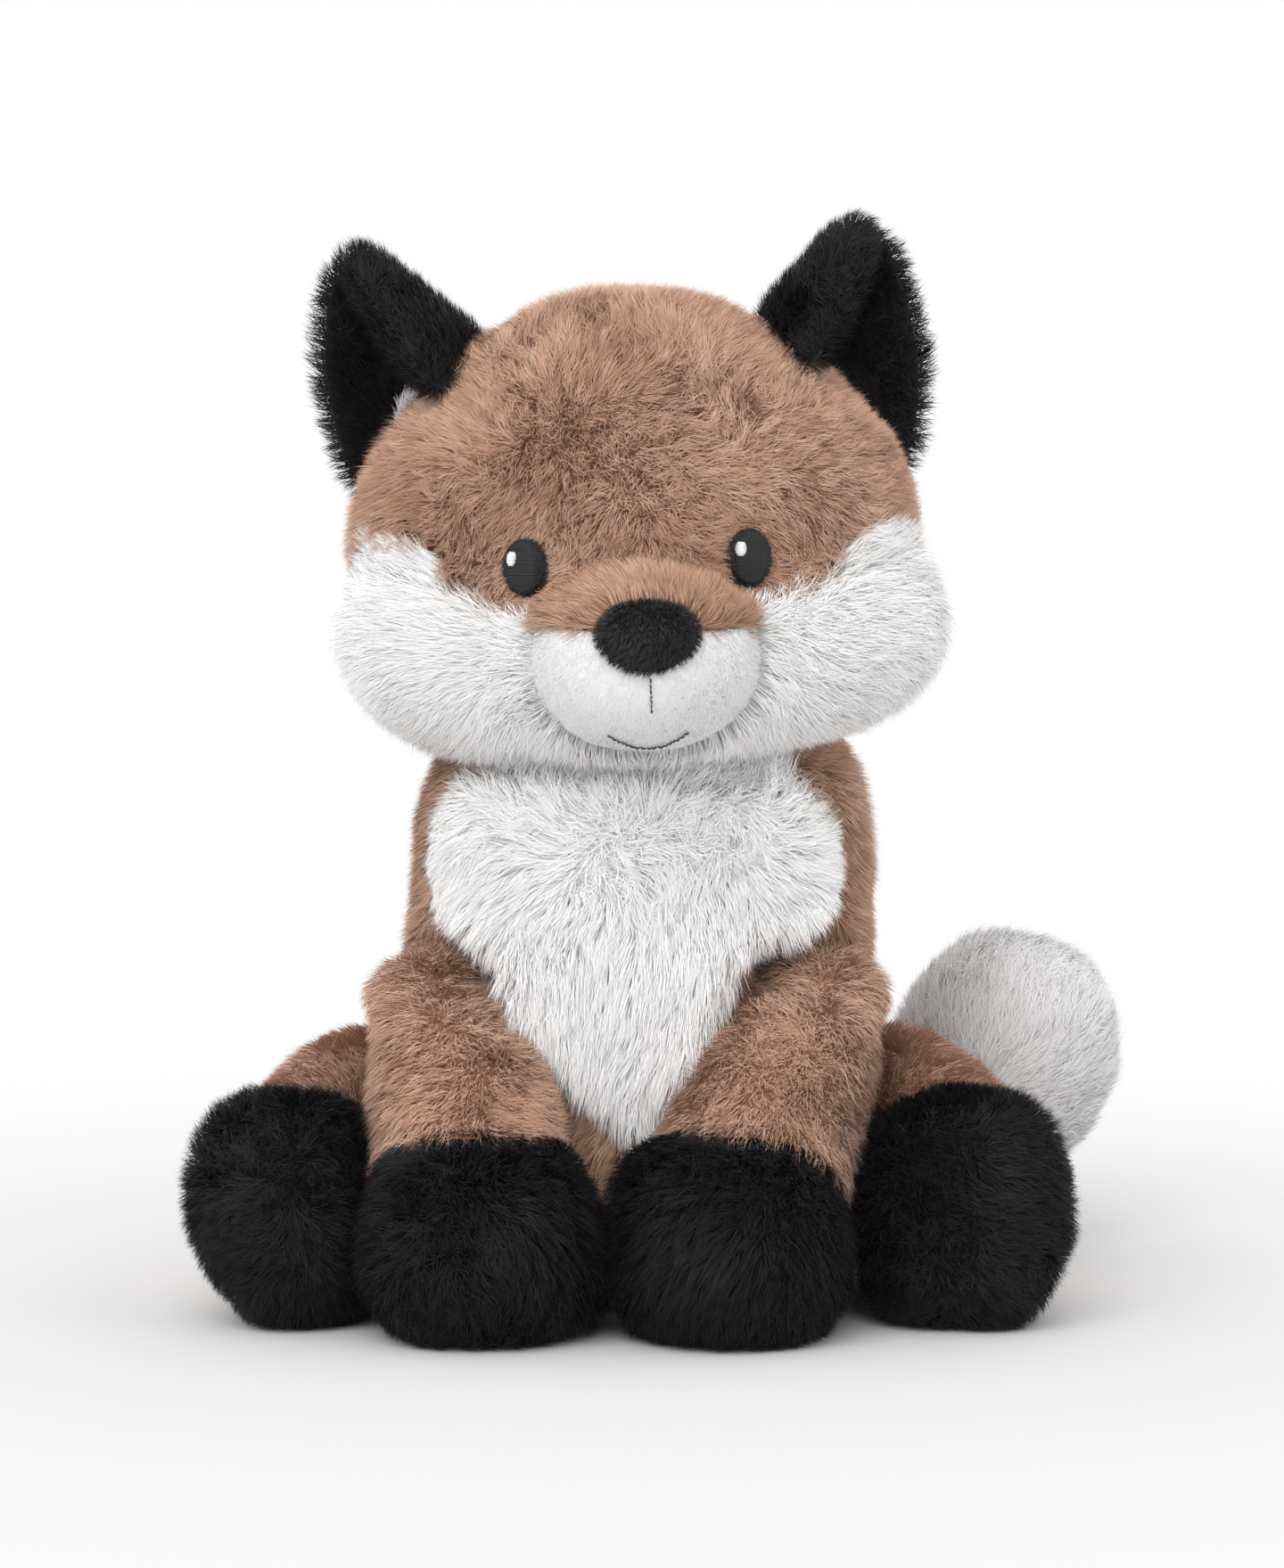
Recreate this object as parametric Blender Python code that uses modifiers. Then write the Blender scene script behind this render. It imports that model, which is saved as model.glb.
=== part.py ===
# Sitting plush fox: sewn and stuffed pieces on their own joints.
# Metres, +Z up. The fox looks along -Y, and its left side is +X.
# The origin lies on the ground, in the middle of the base panel.

import math

import bmesh
import bpy
from mathutils import Matrix, Vector

# Fits
SEAM_GAP = 0.0003
JOINT_GAP = 0.0005
NECK_GAP = 0.0007
CUT_OVERRUN = 0.02
GROUND_SINK = 0.0005

# Cage settings, counts and shares
RING_SIDES = 12
ROOM_SIDES = 8
FORM_LEVELS = 1
EAR_LEVELS = 2
BALL_SEGMENTS = 20
BALL_RINGS = 10
NECK_SEGMENTS = 32
NECK_RINGS = 16
PATCH_SEGMENTS = 14
PATCH_RINGS = 8
DISC_SEGMENTS = 28
EDGE_SEGMENTS = 2
EDGE_ANGLE_DEG = 60

# Torso
TORSO_HEIGHT = 0.176
TORSO_HALF_WIDTH = 0.0618
TORSO_HALF_DEPTH = 0.0555
TORSO_BACK_OFFSET = 0.010
TORSO_SIDE_LEAN = 0.0050
TORSO_RING_SHARES = (
    # height, half width, half depth, offset to the back
    (-0.02, 0.62, 0.62, 1.0),
    (0.05, 0.94, 0.93, 1.0),
    (0.25, 1.0, 1.0, 1.1),
    (0.50, 0.99, 0.95, 0.9),
    (0.72, 0.97, 0.88, 0.5),
    (0.86, 0.91, 0.86, 0.3),
    (0.96, 0.68, 0.66, 0.2),
    (1.0, 0.30, 0.30, 0.2),
)
HIP_FLAT_OFFSET = 0.0585
HIP_FLAT_HEIGHT = 0.080

# Neck
NECK_PIVOT_HEIGHT = 0.118
NECK_PIVOT_BACK = 0.004
NECK_SIDE_OFFSET = 0.0036
NECK_RADIUS = 0.060
NECK_DISC_RADIUS = 0.036
NECK_DISC_DEPTH = 0.005

# Inside of the torso: a pocket from below, closed by the base panel
POCKET_RADIUS = 0.032
SOCKET_WALL = 0.002
POCKET_HEIGHT = 0.128
POCKET_WALL_CLEARANCE = 0.0004
BASE_PANEL_RADIUS = 0.035
BASE_PANEL_THICKNESS = 0.003
BASE_LIP_DEPTH = 0.0035
PELLET_BAG_HEIGHT = 0.034
PELLET_BAG_ROUNDING = 0.009

# Head: sides and rises are measured from its middle, before it leans over by the roll
HEAD_ROLL_DEG = 2.5
HEAD_CENTRE_HEIGHT = 0.2075
HEAD_SIDE_OFFSET = 0.0018
HEAD_FRONT_OFFSET = 0.002
HEAD_HEIGHT = 0.122
HEAD_HALF_WIDTH = 0.0750
HEAD_HALF_DEPTH = 0.0600
HEAD_RING_SHARES = (
    # height from the middle, half width, half depth
    (-0.50, 0.50, 0.50),
    (-0.42, 0.80, 0.82),
    (-0.20, 0.98, 0.98),
    (0.05, 1.02, 1.02),
    (0.25, 0.83, 0.91),
    (0.41, 0.51, 0.62),
    (0.52, 0.20, 0.27),
)
HEAD_POCKET_RADIUS = 0.026
HEAD_POCKET_RISE = 0.0220
HEAD_FILLING_ROUNDING = 0.012

# Cheeks: two white panels that meet under the muzzle
CHEEK_REACH = 0.0732
CHEEK_FRONT = 0.0450
CHEEK_RISE = -0.0300
CHEEK_RADIUS = 0.0275
CHEEK_RING_SHARES = (
    # share of the reach to the side, share of the front, lift and radius in radii
    (1.0, 0.14, 0.36, 0.46),
    (0.90, 0.22, 0.30, 0.80),
    (0.66, 0.55, 0.07, 1.00),
    (0.36, 0.92, -0.20, 0.84),
    (0.0, 1.10, -0.36, 0.66),
    (-0.25, 1.10, -0.38, 0.50),
)

# Muzzle and nose
MUZZLE_CENTRE_RISE = -0.0325
MUZZLE_SIDE_OFFSET = 0.0010
MUZZLE_HALF_WIDTH = 0.0322
MUZZLE_HALF_HEIGHT = 0.0262
MUZZLE_ROOT_FRONT = 0.039
MUZZLE_LENGTH = 0.053
MUZZLE_RING_SHARES = (
    # along the muzzle, half width, half height, lift
    (0.0, 0.94, 0.90, 0.0),
    (0.42, 0.98, 0.96, 0.0),
    (0.74, 0.84, 0.86, 0.02),
    (0.93, 0.55, 0.56, 0.06),
    (1.0, 0.24, 0.24, 0.10),
)
MUZZLE_SPLIT_LIFT = 0.0085
NOSE_HALF_WIDTH = 0.0138
NOSE_HALF_HEIGHT = 0.0098
NOSE_HALF_DEPTH = 0.0105
NOSE_CENTRE_RISE = -0.0263
NOSE_SIDE_OFFSET = 0.0020
NOSE_CENTRE_FRONT = 0.0875
NOSE_RING_SHARES = (
    # height, half width, half depth
    (-1.0, 0.30, 0.34),
    (-0.62, 0.62, 0.72),
    (0.10, 1.02, 1.0),
    (0.66, 0.94, 0.90),
    (1.0, 0.50, 0.50),
)
THREAD_RADIUS = 0.0005
NOSE_STITCH_LENGTH = 0.0085
MOUTH_HALF_WIDTH = 0.0110
MOUTH_DROP = 0.0050
MOUTH_RISE = -0.0547
MOUTH_POINTS = 7

# Eyes
EYE_SPACING = 0.0290
EYE_RISE = -0.0072
EYE_HALF_WIDTH = 0.0054
EYE_HALF_HEIGHT = 0.0070
EYE_THICKNESS = 0.0022
EYE_LIGHT_HALF_WIDTH = 0.0012
EYE_LIGHT_HALF_HEIGHT = 0.0018
EYE_LIGHT_SIDE = 0.0030
EYE_LIGHT_LIFT = 0.0018
EYE_LIGHT_THICKNESS = 0.0006

# Ears: places in shares of the head's half width, half depth and height
EAR_THICKNESS = 0.0085
EAR_ROOT_RADIUS = 0.0052
EAR_ROOT_LIFT = 0.0030
EAR_SEAM_START_SHARES = (0.493, 0.100, 0.406)
EAR_SEAM_END_SHARES = (0.867, 0.100, 0.176)
EAR_LINE_SHARES = (
    # root, middle and tip of each line of the ear, from its outer edge round to the folded flap
    ((0.987, 0.133, 0.053), (1.133, 0.100, 0.340), (0.993, 0.067, 0.627)),
    ((0.667, 0.183, 0.217), (0.787, 0.292, 0.418), (0.933, 0.108, 0.635)),
    ((0.387, 0.117, 0.398), (0.633, 0.092, 0.557), (0.913, 0.067, 0.664)),
    ((0.513, -0.242, 0.348), (0.767, -0.267, 0.520), (0.920, 0.025, 0.639)),
    ((0.640, -0.600, 0.299), (0.800, -0.333, 0.447), (0.920, 0.012, 0.611)),
)

# Front legs
SHOULDER_SPACING = 0.0475
SHOULDER_FRONT = 0.026
SHOULDER_HEIGHT = 0.0865
SHOULDER_RADIUS = 0.0205
FRONT_PAW_SIDE_OFFSET = -0.0060
FRONT_PAW_SPACING = 0.0334
FRONT_PAW_FRONT = 0.070
FRONT_PAW_HALF_WIDTH = 0.0285
FRONT_PAW_HALF_DEPTH = 0.0320
FRONT_PAW_HEIGHT = 0.0525
FRONT_LEG_RADIUS = 0.0232
FRONT_LEG_LIFTS_DEG = (15, 30, 45)
LEG_ROOM = 0.0008
FRONT_LEG_SHARES = (
    # share of the way from shoulder to paw, radius
    (-0.06, 0.50),
    (0.12, 0.91),
    (0.50, 0.97),
    (0.90, 1.06),
    (1.16, 0.84),
)

# Hind legs
HIP_SPACING = 0.0745
HIP_BACK = 0.010
HIP_HEIGHT = 0.038
THIGH_HALF_WIDTH = 0.0250
THIGH_RADIUS = 0.0350
HIND_FOOT_SPACING = 0.0912
HIND_FOOT_FRONT = 0.050
HIND_FOOT_HALF_WIDTH = 0.0244
HIND_FOOT_HALF_DEPTH = 0.0248
HIND_FOOT_HEIGHT = 0.0612
THIGH_SHARES = (
    # share of the way from hip to foot, half width, half height
    (-0.60, 0.40, 0.36),
    (-0.46, 0.84, 0.74),
    (-0.08, 1.04, 1.02),
    (0.40, 0.98, 0.92),
    (0.85, 0.88, 0.76),
    (1.10, 0.70, 0.62),
)

# Paw form shared by the four feet: height, half width, half depth
PAW_RING_SHARES = (
    (-0.01, 0.52, 0.52),
    (0.13, 0.85, 0.85),
    (0.42, 1.03, 1.03),
    (0.72, 0.94, 0.94),
    (0.93, 0.64, 0.64),
    (1.0, 0.28, 0.28),
)

# Tail
TAIL_PIVOT = (0.012, 0.063, 0.036)
TAIL_ROOT_RADIUS = 0.017
TAIL_ROOM = 0.0012
TAIL_MIDDLE = (0.048, 0.088, 0.0270)
TAIL_TURN = (0.084, 0.0905, 0.0310)
TAIL_BULB = (0.109, 0.082, 0.0490)
TAIL_END = (0.1140, 0.0760, 0.0860)
TAIL_RADIUS = 0.0278
# Shares of the way from root to middle, and from bulb to end
TAIL_BACK_SHARE = 0.20
TAIL_START_SHARE = 0.35
TAIL_TOP_SHARE = 0.60
TAIL_RADIUS_SHARES = (0.50, 0.68, 0.92, 0.98, 1.05, 0.98, 0.40)
TAIL_SPLIT_SHARE = 0.55

# Chest bib
BIB_PILE = 0.0062
BIB_TOP_LIFT = 0.0220
BIB_DROP = 0.0920
BIB_HALF_WIDTH = 0.0545
BIB_SIDE_OFFSET = 0.0015
BIB_OUTLINE_SHARES = (
    # half width, share of the way down from the top
    (0.0, 0.0),
    (0.80, 0.0),
    (0.95, 0.10),
    (1.0, 0.25),
    (0.84, 0.46),
    (0.50, 0.69),
    (0.22, 0.86),
    (0.0, 1.0),
)

COLOURS = {
    # name: red, green, blue, roughness
    "brown_plush": (0.355, 0.200, 0.125, 0.95),
    "black_plush": (0.012, 0.011, 0.012, 0.95),
    "white_plush": (0.820, 0.810, 0.810, 0.95),
    "muzzle_velboa": (0.760, 0.755, 0.760, 0.90),
    "black_velboa": (0.016, 0.015, 0.016, 0.90),
    "dark_thread": (0.022, 0.022, 0.026, 0.55),
    "grey_thread": (0.100, 0.100, 0.104, 0.60),
    "white_thread": (0.850, 0.850, 0.850, 0.50),
    "base_cloth": (0.260, 0.150, 0.095, 0.90),
    "fibre_filling": (0.800, 0.800, 0.780, 1.0),
    "pellet_cloth": (0.700, 0.690, 0.660, 0.85),
}

UP = Vector((0, 0, 1))
AHEAD = Vector((0, -1, 0))
ACROSS = Vector((1, 0, 0))
SIDES = (("right", -1), ("left", 1))


def clear_scene():
    for obj in list(bpy.data.objects):
        bpy.data.objects.remove(obj, do_unlink=True)


def make_collection(name):
    collection = bpy.data.collections.new(name)
    bpy.context.scene.collection.children.link(collection)
    return collection


def make_material(name):
    red, green, blue, roughness = COLOURS[name]
    material = bpy.data.materials.new(name)
    material.use_nodes = True
    shader = material.node_tree.nodes["Principled BSDF"]
    shader.inputs["Base Color"].default_value = (red, green, blue, 1)
    shader.inputs["Roughness"].default_value = roughness
    shader.inputs["Metallic"].default_value = 0
    return material


clear_scene()
PARTS = make_collection("plush_fox")
CUTTERS = make_collection("cutters")
MATERIALS = {name: make_material(name) for name in COLOURS}


def add_piece(name, mesh, material):
    """A visible sub-part in the object's collection."""
    piece = bpy.data.objects.new(name, mesh)
    mesh.materials.append(MATERIALS[material])
    mesh.shade_smooth()
    PARTS.objects.link(piece)
    return piece


def add_cutter(name, mesh):
    """A helper solid that is left out of the finished part."""
    cutter = bpy.data.objects.new(name, mesh)
    cutter.hide_render = True
    cutter.display_type = "WIRE"
    CUTTERS.objects.link(cutter)
    return cutter


def subdivide(obj, levels):
    modifier = obj.modifiers.new("rounding", "SUBSURF")
    modifier.levels = levels
    modifier.render_levels = levels


def combine(obj, other, operation, solver="EXACT"):
    modifier = obj.modifiers.new(operation.lower() + "_" + other.name, "BOOLEAN")
    modifier.operation = operation
    modifier.solver = solver
    modifier.object = other


def cut(obj, *cutters):
    for cutter in cutters:
        combine(obj, cutter, "DIFFERENCE")


def cut_closed(obj, *cutters):
    """The same cut for two rounded forms that graze each other, which the exact way loses."""
    for cutter in cutters:
        combine(obj, cutter, "DIFFERENCE", "MANIFOLD")


def keep_inside(obj, *cutters):
    for cutter in cutters:
        combine(obj, cutter, "INTERSECT")


def grow(obj, distance):
    modifier = obj.modifiers.new("clearance", "DISPLACE")
    modifier.strength = distance
    modifier.mid_level = 0


def grown_copy(obj, name, levels, distance=SEAM_GAP):
    """A cutter with the piece's own cage, larger by the distance all round."""
    cutter = add_cutter(name, obj.data.copy())
    subdivide(cutter, levels)
    grow(cutter, distance)
    return cutter


def mesh_from(name, build):
    mesh = bpy.data.meshes.new(name)
    shape = bmesh.new()
    build(shape)
    bmesh.ops.recalc_face_normals(shape, faces=shape.faces)
    shape.to_mesh(mesh)
    shape.free()
    return mesh


def cage_radius_share(sides):
    """How far a ring's surface falls inside its cage once it is rounded."""
    return (2 + math.cos(math.tau / sides)) / 3


def loft_mesh(name, rings, sides=RING_SIDES):
    """A closed cage through rings of (centre, side way, front way, half width, half depth)."""

    def build(shape):
        share = cage_radius_share(sides)
        loops = []
        for centre, side_way, front_way, half_width, half_depth in rings:
            loop = []
            for step in range(sides):
                turn = math.tau * (step + 0.5) / sides
                across = side_way * (math.cos(turn) * half_width / share)
                along = front_way * (math.sin(turn) * half_depth / share)
                loop.append(shape.verts.new(centre + across + along))
            loops.append(loop)
        for low, high in zip(loops, loops[1:]):
            for step in range(sides):
                after = (step + 1) % sides
                shape.faces.new((low[step], low[after], high[after], high[step]))
        shape.faces.new(loops[0][::-1])
        shape.faces.new(loops[-1])

    return mesh_from(name, build)


def upright_rings(centre, height, half_width, half_depth, shares, across=ACROSS, up=UP):
    """Level rings at shares of the height above the centre."""
    return [
        (centre + up * (height * lift), across, -AHEAD, half_width * wide, half_depth * deep)
        for lift, wide, deep in shares
    ]


def ball_mesh(name, radius, segments=BALL_SEGMENTS, rings=BALL_RINGS):
    return mesh_from(
        name,
        lambda shape: bmesh.ops.create_uvsphere(
            shape, u_segments=segments, v_segments=rings, radius=radius
        ),
    )


def cylinder_mesh(name, radius, low, high):
    def build(shape):
        bmesh.ops.create_cone(
            shape,
            cap_ends=True,
            segments=DISC_SEGMENTS,
            radius1=radius,
            radius2=radius,
            depth=high - low,
            matrix=Matrix.Translation(UP * ((low + high) / 2)),
        )

    return mesh_from(name, build)


def box_mesh(name, low, high):
    def build(shape):
        middle = (Vector(low) + Vector(high)) / 2
        size = Vector(high) - Vector(low)
        matrix = Matrix.Translation(middle) @ Matrix.Diagonal((*size, 1))
        bmesh.ops.create_cube(shape, size=1, matrix=matrix)

    return mesh_from(name, build)


def ball_cutter(name, centre, radius):
    cutter = add_cutter(name, ball_mesh(name, radius))
    cutter.location = centre
    return cutter


def neck_ball_mesh(name, radius):
    return ball_mesh(name, radius, NECK_SEGMENTS, NECK_RINGS)


def neck_ball(name, radius):
    ball = add_cutter(name, neck_ball_mesh(name, radius))
    ball.location = NECK_PIVOT
    return ball


def joint_empty(name, place):
    empty = bpy.data.objects.new(name, None)
    empty.location = place
    PARTS.objects.link(empty)
    return empty


def hang_on(empty, *pieces):
    """Parents the pieces to the joint's empty, without moving them."""
    for piece in pieces:
        piece.parent = empty
        piece.matrix_parent_inverse = Matrix.Translation(-empty.location)


# Shared cutters

REACH = TORSO_HEIGHT + HEAD_HEIGHT
GROUND = add_cutter(
    "ground_cut", box_mesh("ground_cut", (-REACH, -REACH, -REACH), (REACH, REACH, 0))
)
NECK_PIVOT = Vector((NECK_SIDE_OFFSET, NECK_PIVOT_BACK, NECK_PIVOT_HEIGHT))
NECK_HOLLOW = neck_ball("neck_hollow", NECK_RADIUS + NECK_GAP)


HEAD_MIDDLE = Vector((HEAD_SIDE_OFFSET, -HEAD_FRONT_OFFSET, HEAD_CENTRE_HEIGHT))
HEAD_TURN = Matrix.Rotation(-math.radians(HEAD_ROLL_DEG), 3, "Y")
HEAD_POCKET_TOP = HEAD_CENTRE_HEIGHT + HEAD_POCKET_RISE
HEAD_ACROSS = HEAD_TURN @ ACROSS
HEAD_UP = HEAD_TURN @ UP


def head_place(place, side=1):
    """A place on the leaning head, from one given as if the head were upright."""
    x, y, rise = place
    upright = Vector((HEAD_SIDE_OFFSET + x * side, y, HEAD_CENTRE_HEIGHT + rise))
    return HEAD_MIDDLE + HEAD_TURN @ (upright - HEAD_MIDDLE)


def ear_place(shares, side):
    wide, deep, high = shares
    place = (HEAD_HALF_WIDTH * wide, HEAD_HALF_DEPTH * deep, HEAD_HEIGHT * high)
    return head_place(place, side)


def shoulder_place(side):
    return Vector((SHOULDER_SPACING * side, -SHOULDER_FRONT, SHOULDER_HEIGHT))


def front_paw_place(side, height=0):
    return Vector((FRONT_PAW_SIDE_OFFSET + FRONT_PAW_SPACING * side, -FRONT_PAW_FRONT, height))


def hip_place(side):
    return Vector((HIP_SPACING * side, HIP_BACK, HIP_HEIGHT))


def joint_sockets(name, extra):
    """Balls round the limbs' round ends, larger than them by the extra."""
    sockets = [
        ball_cutter(f"shoulder_{name}_{word}", shoulder_place(side), SHOULDER_RADIUS + extra)
        for word, side in SIDES
    ]
    sockets.append(ball_cutter("tail_" + name, Vector(TAIL_PIVOT), TAIL_ROOT_RADIUS + extra))
    return sockets


def hip_flats():
    """Cuts that flatten the torso's sides where the thighs are sewn on."""
    flats = []
    for word, side in SIDES:
        near = HIP_FLAT_OFFSET * side
        far = (HIP_FLAT_OFFSET + CUT_OVERRUN) * side
        low = (min(near, far), -TORSO_HEIGHT, -CUT_OVERRUN)
        high = (max(near, far), TORSO_HEIGHT, HIP_FLAT_HEIGHT)
        flats.append(add_cutter("hip_flat_" + word, box_mesh("hip_flat_" + word, low, high)))
    return flats


# Torso


def torso_rings():
    return [
        (
            Vector((TORSO_SIDE_LEAN * lift, TORSO_BACK_OFFSET * back, TORSO_HEIGHT * lift)),
            ACROSS,
            -AHEAD,
            TORSO_HALF_WIDTH * wide,
            TORSO_HALF_DEPTH * deep,
        )
        for lift, wide, deep, back in TORSO_RING_SHARES
    ]


def make_torso():
    torso = add_piece("body_cover", loft_mesh("body_cover", torso_rings()), "brown_plush")
    subdivide(torso, FORM_LEVELS)
    dome = neck_ball("neck_dome_keep", NECK_RADIUS)
    below = add_cutter(
        "below_neck_keep",
        box_mesh("below_neck_keep", (-REACH, -REACH, -CUT_OVERRUN), (REACH, REACH, NECK_PIVOT_HEIGHT)),
    )
    combine(below, dome, "UNION")
    keep_inside(torso, below)
    neck_recess = add_cutter(
        "neck_recess",
        cylinder_mesh(
            "neck_recess",
            NECK_DISC_RADIUS + NECK_GAP,
            NECK_PIVOT_HEIGHT,
            NECK_PIVOT_HEIGHT + NECK_RADIUS + CUT_OVERRUN,
        ),
    )
    neck_recess.location = (NECK_PIVOT.x, NECK_PIVOT.y, 0)
    core = neck_ball("neck_core", NECK_RADIUS - NECK_DISC_DEPTH - NECK_GAP)
    cut(neck_recess, core)
    cut(torso, neck_recess, GROUND, *FLATS)
    cut_closed(torso, *SOCKETS, *LEG_ROOMS)
    pocket = add_cutter(
        "body_pocket", cylinder_mesh("body_pocket", POCKET_RADIUS, -CUT_OVERRUN, POCKET_HEIGHT)
    )
    pocket.location = (0, TORSO_BACK_OFFSET, 0)
    cut(pocket, *joint_sockets("wall", JOINT_GAP + SOCKET_WALL))
    lip = add_cutter(
        "base_lip",
        cylinder_mesh("base_lip", BASE_PANEL_RADIUS + SEAM_GAP, -CUT_OVERRUN, BASE_LIP_DEPTH),
    )
    lip.location = pocket.location
    cut_closed(torso, pocket, lip)
    return torso


def round_edges(obj, width):
    modifier = obj.modifiers.new("soft_edges", "BEVEL")
    modifier.width = width
    modifier.segments = EDGE_SEGMENTS
    modifier.limit_method = "ANGLE"
    modifier.angle_limit = math.radians(EDGE_ANGLE_DEG)


def make_torso_inside():
    """The pellet bag low down, the fibre above it and the cloth panel that closes them in."""
    radius = POCKET_RADIUS - POCKET_WALL_CLEARANCE
    floor = BASE_LIP_DEPTH
    middle = (0, TORSO_BACK_OFFSET, 0)
    bag = add_piece(
        "pellet_bag",
        cylinder_mesh("pellet_bag", radius, floor, floor + PELLET_BAG_HEIGHT),
        "pellet_cloth",
    )
    round_edges(bag, PELLET_BAG_ROUNDING)
    filling = add_piece(
        "body_filling",
        cylinder_mesh(
            "body_filling",
            radius,
            floor + PELLET_BAG_HEIGHT + SEAM_GAP,
            POCKET_HEIGHT - POCKET_WALL_CLEARANCE,
        ),
        "fibre_filling",
    )
    round_edges(filling, PELLET_BAG_ROUNDING)
    room = joint_sockets("wall_room", JOINT_GAP + SOCKET_WALL + POCKET_WALL_CLEARANCE)
    cut(filling, *room)
    cut(bag, room[-1])
    panel = add_piece(
        "base_panel",
        cylinder_mesh("base_panel", BASE_PANEL_RADIUS, 0, BASE_PANEL_THICKNESS),
        "base_cloth",
    )
    for piece in (bag, filling, panel):
        piece.location = middle


def make_neck_disc():
    """The cloth disc that closes the stuffed body and carries the head's seam."""
    name = "neck_seam_disc"
    disc = add_piece(name, neck_ball_mesh(name, NECK_RADIUS), "base_cloth")
    disc.location = NECK_PIVOT
    core = neck_ball("neck_disc_core", NECK_RADIUS - NECK_DISC_DEPTH)
    rim = add_cutter(
        "neck_disc_rim",
        cylinder_mesh("neck_disc_rim", NECK_DISC_RADIUS, 0, NECK_RADIUS + CUT_OVERRUN),
    )
    rim.location = NECK_PIVOT
    keep_inside(disc, rim)
    cut(disc, core)
    return disc


def outline_prism(name, points, front, back):
    """A prism whose outline stands upright, facing the front."""

    def build(shape):
        front_loop = [shape.verts.new((x, front, z)) for x, z in points]
        back_loop = [shape.verts.new((x, back, z)) for x, z in points]
        count = len(points)
        for step in range(count):
            after = (step + 1) % count
            shape.faces.new(
                (front_loop[step], front_loop[after], back_loop[after], back_loop[step])
            )
        shape.faces.new(front_loop[::-1])
        shape.faces.new(back_loop)

    return mesh_from(name, build)


def make_bib(torso):
    """The long-pile white panel on the chest, a shield that narrows between the legs."""
    bib = add_piece("chest_bib", torso.data.copy(), "white_plush")
    bib.data.materials.clear()
    bib.data.materials.append(MATERIALS["white_plush"])
    subdivide(bib, FORM_LEVELS)
    grow(bib, BIB_PILE)
    top = NECK_PIVOT_HEIGHT + BIB_TOP_LIFT
    right = [
        (BIB_SIDE_OFFSET + BIB_HALF_WIDTH * wide, top - BIB_DROP * down)
        for wide, down in BIB_OUTLINE_SHARES
    ]
    left = [(2 * BIB_SIDE_OFFSET - x, z) for x, z in right[-2:0:-1]]
    shield = add_cutter(
        "bib_outline", outline_prism("bib_outline", right + left, -TORSO_HEIGHT, 0)
    )
    keep_inside(bib, shield)
    cut_closed(bib, TORSO_GROWN, *LEG_ROOMS, *SOCKETS)


# Head


def head_rings():
    return upright_rings(
        HEAD_MIDDLE,
        HEAD_HEIGHT,
        HEAD_HALF_WIDTH,
        HEAD_HALF_DEPTH,
        HEAD_RING_SHARES,
        HEAD_ACROSS,
        HEAD_UP,
    )


def make_head():
    head = add_piece("head_cover", loft_mesh("head_cover", head_rings()), "brown_plush")
    subdivide(head, FORM_LEVELS)
    grooves = [ear_roll("ear_groove_" + word, side, SEAM_GAP) for word, side in SIDES]
    cut(head, NECK_HOLLOW, *grooves)
    pocket = add_cutter(
        "head_pocket",
        cylinder_mesh(
            "head_pocket", HEAD_POCKET_RADIUS, NECK_PIVOT_HEIGHT, HEAD_POCKET_TOP
        ),
    )
    pocket.location = (NECK_PIVOT.x, NECK_PIVOT.y, 0)
    cut(head, pocket)
    return head


def make_head_filling():
    filling = add_piece(
        "head_filling",
        cylinder_mesh(
            "head_filling",
            HEAD_POCKET_RADIUS - POCKET_WALL_CLEARANCE,
            NECK_PIVOT_HEIGHT,
            HEAD_POCKET_TOP - POCKET_WALL_CLEARANCE,
        ),
        "fibre_filling",
    )
    filling.location = (NECK_PIVOT.x, NECK_PIVOT.y, 0)
    round_edges(filling, HEAD_FILLING_ROUNDING)
    cut(filling, NECK_HOLLOW)
    return filling


def path_rings(centres, radii):
    """Rings square to the way from the centre before to the centre after, without a twist."""
    rings = []
    side_way = UP.cross(centres[1] - centres[0])
    for step, centre in enumerate(centres):
        before = centres[max(step - 1, 0)]
        after = centres[min(step + 1, len(centres) - 1)]
        way = (after - before).normalized()
        side_way = (side_way - way * side_way.dot(way)).normalized()
        rings.append((centre, side_way, way.cross(side_way), radii[step], radii[step]))
    return rings


def cheek_rings(side):
    centres = []
    radii = []
    for out, ahead, lift, wide in CHEEK_RING_SHARES:
        z = CHEEK_RISE + CHEEK_RADIUS * lift
        centres.append(head_place((CHEEK_REACH * out, -CHEEK_FRONT * ahead, z), side))
        radii.append(CHEEK_RADIUS * wide)
    return path_rings(centres, radii)


def half_space(name, side, edge):
    """Everything past the upright plane x = edge, on the given side."""
    low = (min(edge, REACH * side), -REACH, -REACH)
    high = (max(edge, REACH * side), REACH, REACH)
    return add_cutter(name, box_mesh(name, low, high))


def make_cheeks():
    cheeks = []
    for word, side in SIDES:
        name = "cheek_" + word
        cheek = add_piece(name, loft_mesh(name, cheek_rings(side)), "white_plush")
        subdivide(cheek, FORM_LEVELS)
        half = half_space(name + "_side", side, side * SEAM_GAP / 2)
        half.location = HEAD_MIDDLE
        half.rotation_euler.y = -math.radians(HEAD_ROLL_DEG)
        keep_inside(cheek, half)
        cut_closed(cheek, NECK_HOLLOW, HEAD_GROWN)
        cheeks.append(cheek)
    return cheeks


def muzzle_rings():
    rings = []
    for along, wide, high, lift in MUZZLE_RING_SHARES:
        y = -MUZZLE_ROOT_FRONT - MUZZLE_LENGTH * along
        z = MUZZLE_CENTRE_RISE + MUZZLE_HALF_HEIGHT * lift
        half_width = MUZZLE_HALF_WIDTH * wide
        half_height = MUZZLE_HALF_HEIGHT * high
        centre = head_place((MUZZLE_SIDE_OFFSET, y, z))
        rings.append((centre, HEAD_ACROSS, HEAD_UP, half_width, half_height))
    return rings


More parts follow.
